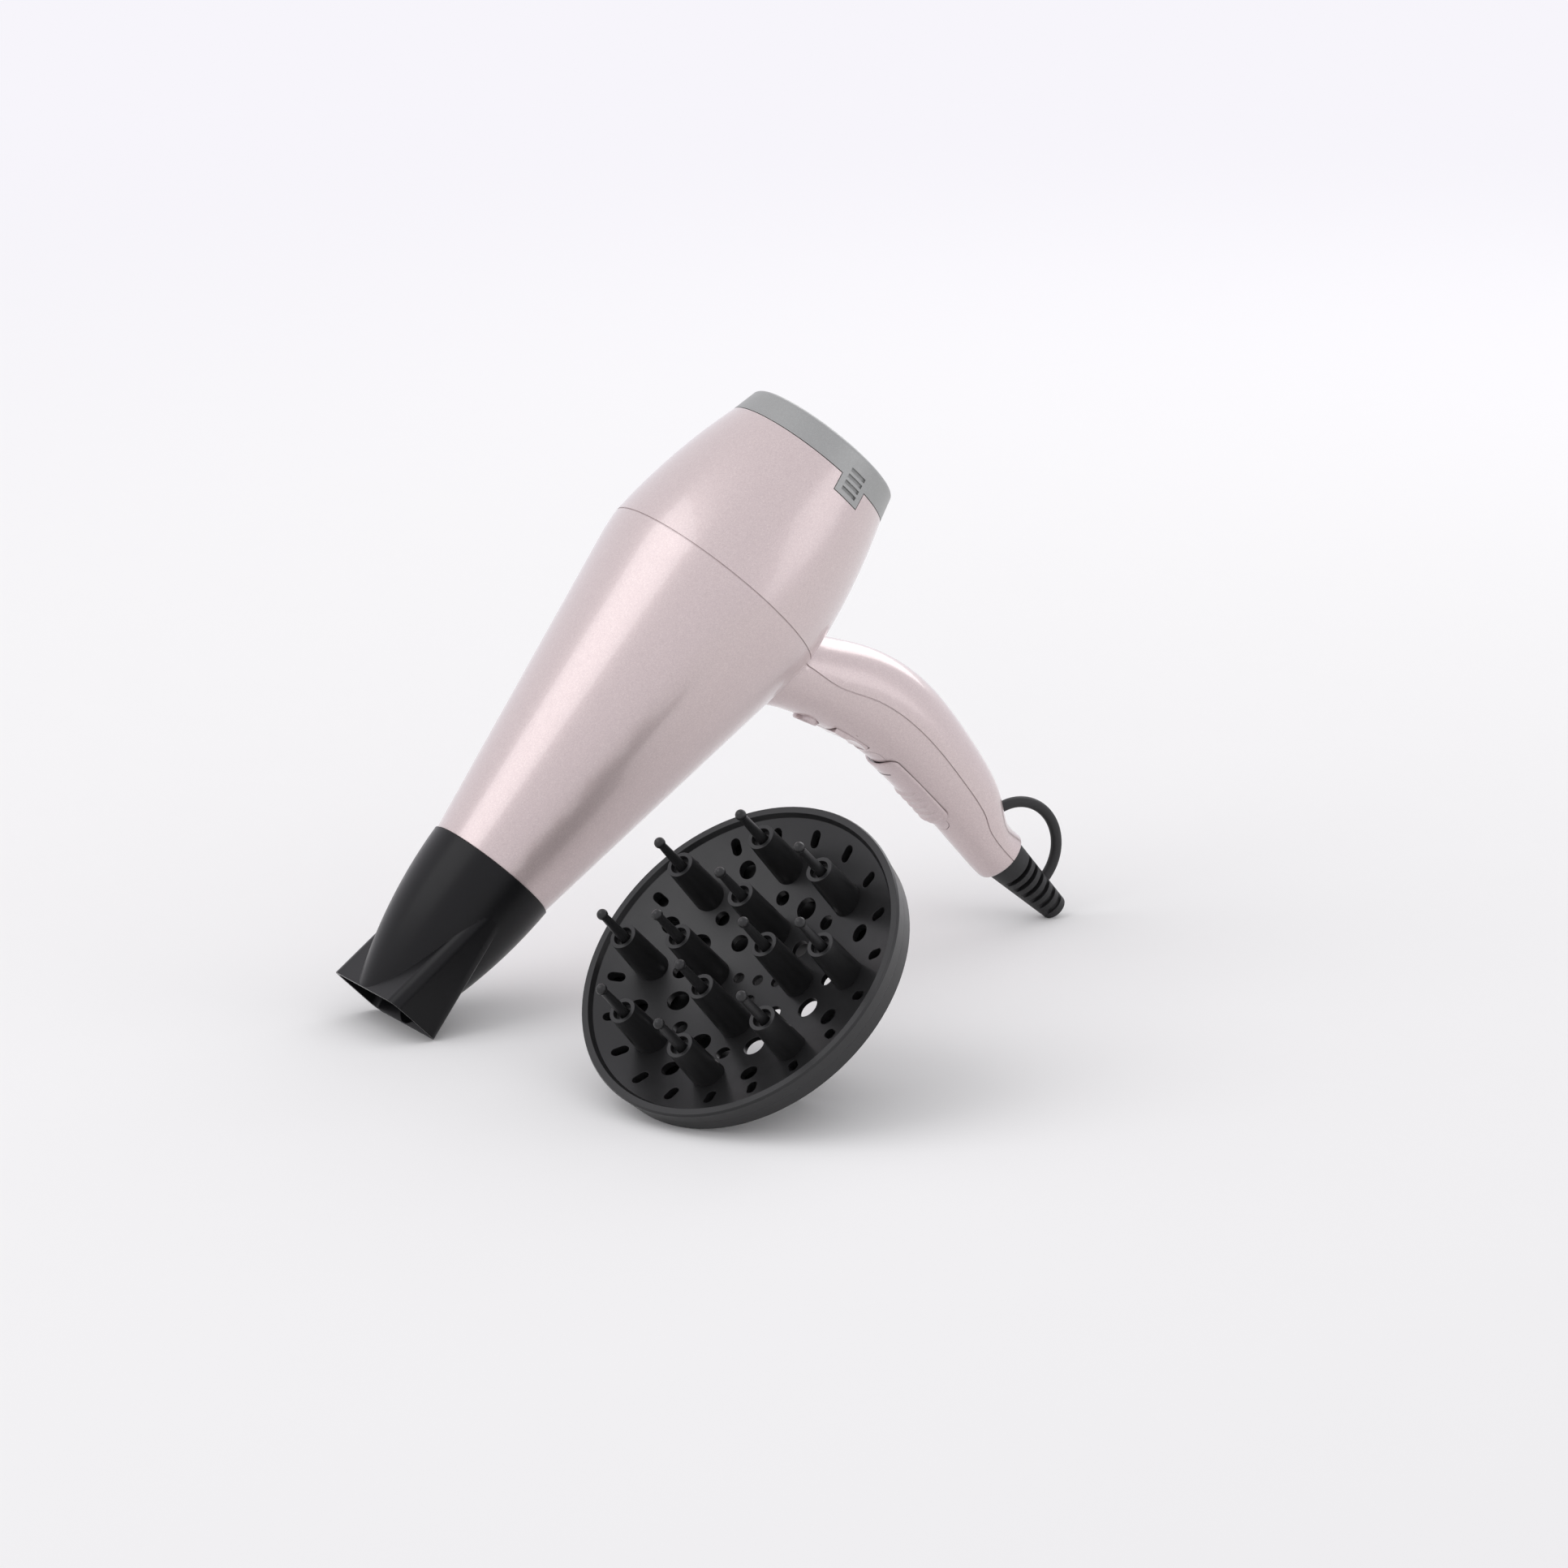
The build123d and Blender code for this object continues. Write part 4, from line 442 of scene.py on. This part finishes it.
def circuit_board(name, mask, copper):
    """Green solder mask over copper tracks, on woven glass."""
    material, tree, shader = new_finish(name, coat_weight=0.2, coat_roughness=0.2)
    spot = barrel_spot(tree)
    pattern = {"Scale": 60, "Mortar Size": 0.05, "Brick Width": 0.7, "Row Height": 0.22}
    tracks = add_node(tree, "TexBrick", {"Vector": spot, **pattern}).outputs["Fac"]
    glass = between(tree, noise(tree, spot, size=0.0006, detail=1.0), low=0.0, high=0.25)
    body = mixed(tree, glass, rgba(mask), rgba(mask, 1.3))
    body = mixed(tree, tracks, body, rgba(copper))
    connect(tree, shader, body, between(tree, tracks, low=0.4, high=0.28))
    relief(tree, shader, tracks, depth=0.00003)
    return material


def keep_edges(piece, details):
    """Keeps the real edges of a smooth piece sharp."""
    split = piece.modifiers.new("Keep Edges", "EDGE_SPLIT")
    split.split_angle = details.smooth_angle
    split.use_edge_sharp = False


def dress(context, finish, *names):
    """Gives CAD nodes their finish, and joins their faces so that curves are shaded smooth."""
    for name in names:
        piece = frame["nodes"][name]
        if not piece.material_slots:
            piece.data.materials.append(finish)
        for slot in piece.material_slots:
            slot.material = finish
        weld = piece.modifiers.new("Join Faces", "WELD")
        weld.merge_threshold = WELD_DISTANCE
        keep_edges(piece, context.scene.dryer_details)


def new_piece(name, mesh, finish, body):
    """Piece of the object made of a finished mesh, which rides on a body."""
    bmesh.ops.recalc_face_normals(mesh, faces=mesh.faces)
    data = bpy.data.meshes.new(name)
    mesh.to_mesh(data)
    mesh.free()
    data.materials.append(finish)
    piece = bpy.data.objects.new(name, data)
    bpy.context.scene.collection.objects.link(piece)
    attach(piece, body)
    return piece


class HAIR_DRYER_OT_shells(bpy.types.Operator):
    """Paint the front shell and the rear shell"""
    bl_idname = "hair_dryer.shells"
    bl_label = "Shells"

    def execute(self, context):
        finishes = context.scene.dryer_finishes
        paint = pearl_paint("pearl_pink", finishes.pearl, finishes)
        dress(context, paint, "front_shell", "rear_shell")
        return {"FINISHED"}


class HAIR_DRYER_OT_controls(bpy.types.Operator):
    """Finish the switch plate, the slider, the rocker and the cool shot button"""
    bl_idname = "hair_dryer.controls"
    bl_label = "Controls"

    def execute(self, context):
        finishes = context.scene.dryer_finishes
        paint = pearl_paint("control_pink", finishes.control, finishes)
        dress(context, paint, "switch_plate", "slider", "rocker", "cool_shot_button")
        return {"FINISHED"}


class HAIR_DRYER_OT_thumb_pad(bpy.types.Operator):
    """Make the slider's thumb pad with its ribs and its line"""
    bl_idname = "hair_dryer.thumb_pad"
    bl_label = "Thumb Pad"

    def execute(self, context):
        finishes, details = context.scene.dryer_finishes, context.scene.dryer_details
        paint = bpy.data.materials.get("control_pink")
        if paint is None:
            raise RuntimeError("the controls are finished before the thumb pad is made")
        pad = self.rounded_pad(details)
        self.raise_ribs(pad, details)
        self.lay(pad, details)
        self.smooth(new_piece("slider_pad", pad, paint, "slider"), details)
        line = self.slab(details.mark_length, details.mark_width, LINE_THICKNESS)
        self.cut(line, details.mark_length, LINE_CUT, Vector((1, 0, 0)))
        lift = Vector((0, -details.mark_place, details.pad_height - LINE_SINK))
        bmesh.ops.translate(line, vec=lift, verts=line.verts)
        self.lay(line, details)
        ink = moulded("mark_grey", finishes.mark, finishes, roughness=0.5, lift=0.1)
        self.smooth(new_piece("slider_line", line, ink, "slider"), details)
        return {"FINISHED"}

    def rounded_pad(self, details):
        """Flat pad with round corners and a soft upper rim, cut so that it can bend."""
        height = details.pad_height
        pad = self.slab(details.pad_width, details.pad_length, height)
        upright = [e for e in pad.edges if abs(e.verts[0].co.z - e.verts[1].co.z) > height / 2]
        self.round_edges(pad, upright, details.pad_corner, CORNER_SEGMENTS)
        rim = [e for e in pad.edges if min(v.co.z for v in e.verts) > height / 2]
        self.round_edges(pad, rim, height * RIM_SHARE, RIM_SEGMENTS)
        self.cut(pad, details.pad_length, PAD_CUT_ALONG, Vector((0, 1, 0)))
        self.cut(pad, details.pad_width, PAD_CUT_ACROSS, Vector((1, 0, 0)))
        return pad

    def raise_ribs(self, pad, details):
        """Lifts the pad's upper face into ribs, which run out near its sides."""
        top = details.pad_height * TOP_SHARE
        last = details.rib_pitch * (details.rib_count - 1)
        rib_half = details.pad_width / 2 - details.rib_margin
        for vert in pad.verts:
            side, down, up = vert.co
            if up <= top:
                continue
            along = down - details.rib_start
            nearest = round(along / details.rib_pitch) * details.rib_pitch
            away = abs(along - min(max(nearest, 0), last))
            if away < details.rib_width / 2:
                share = min(max((rib_half - abs(side)) / RIB_END, 0), 1)
                wave = math.cos(math.pi * away / details.rib_width) ** 2
                vert.co.z += details.rib_height * share * wave

    def slab(self, width, length, height):
        """Flat block on its lower face: x across the handle, y down along it, z out of it."""
        mesh = bmesh.new()
        bmesh.ops.create_cube(mesh, size=1)
        bmesh.ops.scale(mesh, vec=(width, length, height), verts=mesh.verts)
        bmesh.ops.translate(mesh, vec=(0, 0, height / 2), verts=mesh.verts)
        return mesh

    def round_edges(self, mesh, edges, radius, segments):
        bmesh.ops.bevel(
            mesh, geom=edges, offset=radius, offset_type="OFFSET", affect="EDGES",
            segments=segments, profile=0.5, material=-1,
        )

    def cut(self, mesh, length, step, normal):
        """Cuts the block across, so that it can bend."""
        for index in range(1, round(length / step)):
            bmesh.ops.bisect_plane(
                mesh, geom=mesh.verts[:] + mesh.edges[:] + mesh.faces[:], dist=CUT_TOLERANCE,
                plane_co=normal * (index * step - length / 2), plane_no=normal,
            )

    def lay(self, mesh, details):
        """Bends the block over the handle's front, clear of it along the slider's travel."""
        crown = details.pad_crown
        for vert in mesh.verts:
            side, down, up = vert.co
            front = PAD_SLOPE * down + PAD_BEND * down ** 2
            vert.co.z = up + front - crown + math.sqrt(crown ** 2 - side ** 2)
        middle = FAN_POINT + REARWARD * (PAD_ALONG - FAN_ALONG) + HANDLEWARD * PAD_REACH
        turn = Matrix((SIDEWAYS, HANDLEWARD, -REARWARD)).transposed().to_4x4()
        bmesh.ops.transform(mesh, matrix=Matrix.Translation(middle) @ turn, verts=mesh.verts)

    def smooth(self, piece, details):
        """Shades a piece smooth but for its edges."""
        for face in piece.data.polygons:
            face.use_smooth = True
        keep_edges(piece, details)


class HAIR_DRYER_OT_rear_cap(bpy.types.Operator):
    """Finish the rear cap, its grille, its filter and the guard behind it"""
    bl_idname = "hair_dryer.rear_cap"
    bl_label = "Rear Cap"

    def execute(self, context):
        finishes = context.scene.dryer_finishes
        grey = satin_paint("cap_grey", finishes.grey, finishes)
        dress(context, grey, "rear_cap", "inlet_grille")
        dress(context, woven_gauze("filter_gauze", finishes.steel), "filter_mesh")
        black = moulded("guard_black", finishes.inner_black, finishes, roughness=0.5)
        dress(context, black, "intake_guard")
        return {"FINISHED"}


class HAIR_DRYER_OT_nozzle(bpy.types.Operator):
    """Finish the concentrator nozzle and the outlet grille"""
    bl_idname = "hair_dryer.nozzle"
    bl_label = "Nozzle"

    def execute(self, context):
        finishes = context.scene.dryer_finishes
        black = moulded("nozzle_black", finishes.nozzle, finishes, roughness=0.3, shine=0.22)
        dress(context, black, "nozzle")
        matt = moulded("outlet_black", finishes.inner_black, finishes, roughness=0.55)
        dress(context, matt, "outlet_grille")
        return {"FINISHED"}


class HAIR_DRYER_OT_cord_guard(bpy.types.Operator):
    """Finish the rubber cord guard with its hanging loop"""
    bl_idname = "hair_dryer.cord_guard"
    bl_label = "Cord Guard"

    def execute(self, context):
        finishes = context.scene.dryer_finishes
        rubber = moulded(
            "guard_rubber", finishes.rubber, finishes, roughness=0.56, depth=0.00004, grain=1.4
        )
        dress(context, rubber, "cord_guard")
        return {"FINISHED"}


class HAIR_DRYER_OT_diffuser(bpy.types.Operator):
    """Finish the diffuser's plate, fingers and bell"""
    bl_idname = "hair_dryer.diffuser"
    bl_label = "Diffuser"

    def execute(self, context):
        finishes = context.scene.dryer_finishes
        black = moulded("diffuser_black", finishes.diffuser, finishes, roughness=0.32, shine=0.4)
        dress(context, black, "diffuser_plate", "diffuser_fingers", "diffuser_bell")
        return {"FINISHED"}


class HAIR_DRYER_OT_fan_and_motor(bpy.types.Operator):
    """Finish the fan, the motor and the air duct"""
    bl_idname = "hair_dryer.fan_and_motor"
    bl_label = "Fan and Motor"

    def execute(self, context):
        finishes = context.scene.dryer_finishes
        black = moulded("fan_black", finishes.inner_black, finishes, roughness=0.4)
        dress(context, black, "fan")
        ivory = moulded("duct_ivory", finishes.ivory, finishes, roughness=0.45, lift=0.0)
        dress(context, ivory, "air_duct", "motor_end_cap")
        rolled = bare_metal(
            "can_steel", finishes.steel, roughness=0.35, size=0.0008, stretch=(1, 1, 0.05)
        )
        dress(context, rolled, "motor_can")
        ground = bare_metal(
            "shaft_steel", finishes.steel, roughness=0.22, size=0.0003, stretch=(0.1, 0.1, 1)
        )
        dress(context, ground, "motor_shaft")
        dress(context, stacked_iron("core_iron", finishes.iron), "armature")
        ferrite = moulded("magnet_grey", MAGNET_GREY, finishes, roughness=0.6, grain=0.6)
        dress(context, ferrite, "motor_magnets")
        brass = bare_metal(
            "bush_brass", finishes.brass, roughness=0.4, size=0.0004, depth=0.00003
        )
        dress(context, brass, "motor_bushes")
        return {"FINISHED"}


class HAIR_DRYER_OT_heater(bpy.types.Operator):
    """Finish the heater"""
    bl_idname = "hair_dryer.heater"
    bl_label = "Heater"

    def execute(self, context):
        finishes = context.scene.dryer_finishes
        dress(context, mica_sheet("heater_mica", finishes.mica), "heater_sleeve", "heater_frame")
        dress(context, heater_wire("heater_wire", finishes.wire), "heater_coil")
        black = moulded("thermostat_black", finishes.inner_black, finishes, roughness=0.5)
        dress(context, black, "thermostat")
        return {"FINISHED"}


class HAIR_DRYER_OT_handle_inside(bpy.types.Operator):
    """Finish the switch board, the switches, the cord clamp and the screws"""
    bl_idname = "hair_dryer.handle_inside"
    bl_label = "Handle Inside"

    def execute(self, context):
        finishes = context.scene.dryer_finishes
        board = circuit_board("board_green", finishes.board, finishes.copper)
        dress(context, board, "switch_board")
        black = moulded("switch_black", finishes.inner_black, finishes, roughness=0.5)
        dress(context, black, "slide_switch", "rocker_switch", "cool_shot_switch", "cord_clamp")
        zinc = bare_metal("screw_steel", finishes.steel, roughness=0.3, size=0.0006)
        dress(context, zinc, "clamp_screws", "shell_screws")
        return {"FINISHED"}


class HAIR_DRYER_OT_stage(bpy.types.Operator):
    """Set the floor, the lights and the camera"""
    bl_idname = "hair_dryer.stage"
    bl_label = "Stage"

    def execute(self, context):
        stage = context.scene.dryer_stage
        self.add_floor(context, stage)
        self.add_world(context, stage)
        self.add_lights(context, stage)
        self.add_camera(context, stage)
        context.scene.view_settings.view_transform = "Standard"
        return {"FINISHED"}

    def add_floor(self, context, stage):
        mesh = bmesh.new()
        bmesh.ops.create_circle(
            mesh, cap_ends=True, segments=FLOOR_SEGMENTS, radius=stage.floor_size
        )
        data = bpy.data.meshes.new("floor")
        mesh.to_mesh(data)
        mesh.free()
        floor = bpy.data.objects.new("floor", data)
        context.scene.collection.objects.link(floor)
        material = bpy.data.materials.new("floor_pale")
        material.use_nodes = True
        tree = material.node_tree
        tree.nodes.clear()
        spot = object_spot(tree)
        grain = between(tree, noise(tree, spot, FLOOR_GRAIN, detail=4.0), low=0.0, high=0.06)
        colour = mixed(tree, grain, rgba(stage.floor), rgba(stage.floor, 0.9))
        paint = add_node(tree, "BsdfDiffuse", {"Color": colour, "Roughness": 0.6})
        wall = add_node(tree, "Emission", {"Color": rgba(stage.wall), "Strength": 1.0})
        far = add_node(tree, "VectorMath", {0: spot}, operation="LENGTH").outputs["Value"]
        away = add_node(
            tree, "MapRange", {"Value": far, "From Min": FADE_START, "From Max": FADE_END},
            interpolation_type="SMOOTHSTEP",
        ).outputs["Result"]
        product = {0: seen_rays(tree), 1: away}
        share = add_node(tree, "Math", product, operation="MULTIPLY").outputs[0]
        blend = add_node(tree, "MixShader", {0: share, 1: paint.outputs[0], 2: wall.outputs[0]})
        out = add_node(tree, "OutputMaterial")
        tree.links.new(blend.outputs[0], out.inputs["Surface"])
        data.materials.append(material)

    def add_world(self, context, stage):
        world = bpy.data.worlds.new("pale_room")
        context.scene.world = world
        world.use_nodes = True
        tree = world.node_tree
        tree.nodes.clear()
        room = add_node(tree, "Background", {"Color": rgba((1, 1, 1)), "Strength": stage.sky})
        wall = add_node(tree, "Background", {"Color": rgba(stage.wall), "Strength": 1.0})
        parts = {0: seen_rays(tree), 1: room.outputs[0], 2: wall.outputs[0]}
        blend = add_node(tree, "MixShader", parts)
        out = add_node(tree, "OutputWorld")
        tree.links.new(blend.outputs[0], out.inputs["Surface"])

    def add_lights(self, context, stage):
        # Name, place, width and depth, and power
        for name, spot, size, power in (
            ("key", (-1.45, 0.15, 1.65), (1.7, 1.5), stage.key_power),
            ("back", (1.45, 1.0, 1.15), (1.5, 1.2), stage.back_power),
            ("fill", (1.3, -1.6, 0.7), (1.2, 1.2), stage.fill_power),
        ):
            light = bpy.data.lights.new(name, "AREA")
            light.shape = "RECTANGLE"
            light.size, light.size_y = size
            light.energy = power
            lamp = bpy.data.objects.new(name, light)
            lamp.location = spot
            lamp.rotation_euler = (LAMP_AIM - Vector(spot)).to_track_quat("-Z", "Y").to_euler()
            context.scene.collection.objects.link(lamp)

    def add_camera(self, context, stage):
        lift, turn = stage.elevation, stage.azimuth
        back = Vector(
            (math.sin(turn) * math.cos(lift), -math.cos(turn) * math.cos(lift), math.sin(lift))
        )
        data = bpy.data.cameras.new("camera")
        data.sensor_width = SENSOR_MILLIMETRES
        data.sensor_fit = "HORIZONTAL"
        data.lens = SENSOR_MILLIMETRES * stage.camera_distance / VIEW_WIDTH
        data.clip_end = VIEW_END
        camera = bpy.data.objects.new("camera", data)
        camera.location = CAMERA_AIM + back * stage.camera_distance
        camera.rotation_euler = (-back).to_track_quat("-Z", "Y").to_euler()
        context.scene.collection.objects.link(camera)
        context.scene.camera = camera


PIECES = (
    HAIR_DRYER_OT_shells,
    HAIR_DRYER_OT_controls,
    HAIR_DRYER_OT_thumb_pad,
    HAIR_DRYER_OT_rear_cap,
    HAIR_DRYER_OT_nozzle,
    HAIR_DRYER_OT_cord_guard,
    HAIR_DRYER_OT_diffuser,
    HAIR_DRYER_OT_fan_and_motor,
    HAIR_DRYER_OT_heater,
    HAIR_DRYER_OT_handle_inside,
    HAIR_DRYER_OT_stage,
)


class HAIR_DRYER_PT_sidebar(bpy.types.Panel):
    """Lists the pieces of the hair dryer and their settings"""
    bl_idname = "HAIR_DRYER_PT_sidebar"
    bl_label = "Hair Dryer"
    bl_space_type = "VIEW_3D"
    bl_region_type = "UI"
    bl_category = "Hair Dryer"

    def draw(self, context):
        column = self.layout.column(align=True)
        for piece in PIECES:
            column.operator(piece.bl_idname)
        scene = context.scene
        for group in (scene.dryer_finishes, scene.dryer_details, scene.dryer_stage):
            column.separator()
            for name in group.__annotations__:
                column.prop(group, name)


CLASSES = (DryerFinishes, DryerDetails, DryerStage, *PIECES, HAIR_DRYER_PT_sidebar)


def register():
    for made in CLASSES:
        bpy.utils.register_class(made)
    bpy.types.Scene.dryer_finishes = bpy.props.PointerProperty(type=DryerFinishes)
    bpy.types.Scene.dryer_details = bpy.props.PointerProperty(type=DryerDetails)
    bpy.types.Scene.dryer_stage = bpy.props.PointerProperty(type=DryerStage)


def unregister():
    del bpy.types.Scene.dryer_stage
    del bpy.types.Scene.dryer_details
    del bpy.types.Scene.dryer_finishes
    for made in reversed(CLASSES):
        bpy.utils.unregister_class(made)


def main():
    register()
    bpy.ops.hair_dryer.shells()
    bpy.ops.hair_dryer.controls()
    bpy.ops.hair_dryer.thumb_pad()
    bpy.ops.hair_dryer.rear_cap()
    bpy.ops.hair_dryer.nozzle()
    bpy.ops.hair_dryer.cord_guard()
    bpy.ops.hair_dryer.diffuser()
    bpy.ops.hair_dryer.fan_and_motor()
    bpy.ops.hair_dryer.heater()
    bpy.ops.hair_dryer.handle_inside()
    bpy.ops.hair_dryer.stage()


if __name__ == "__main__":
    main()
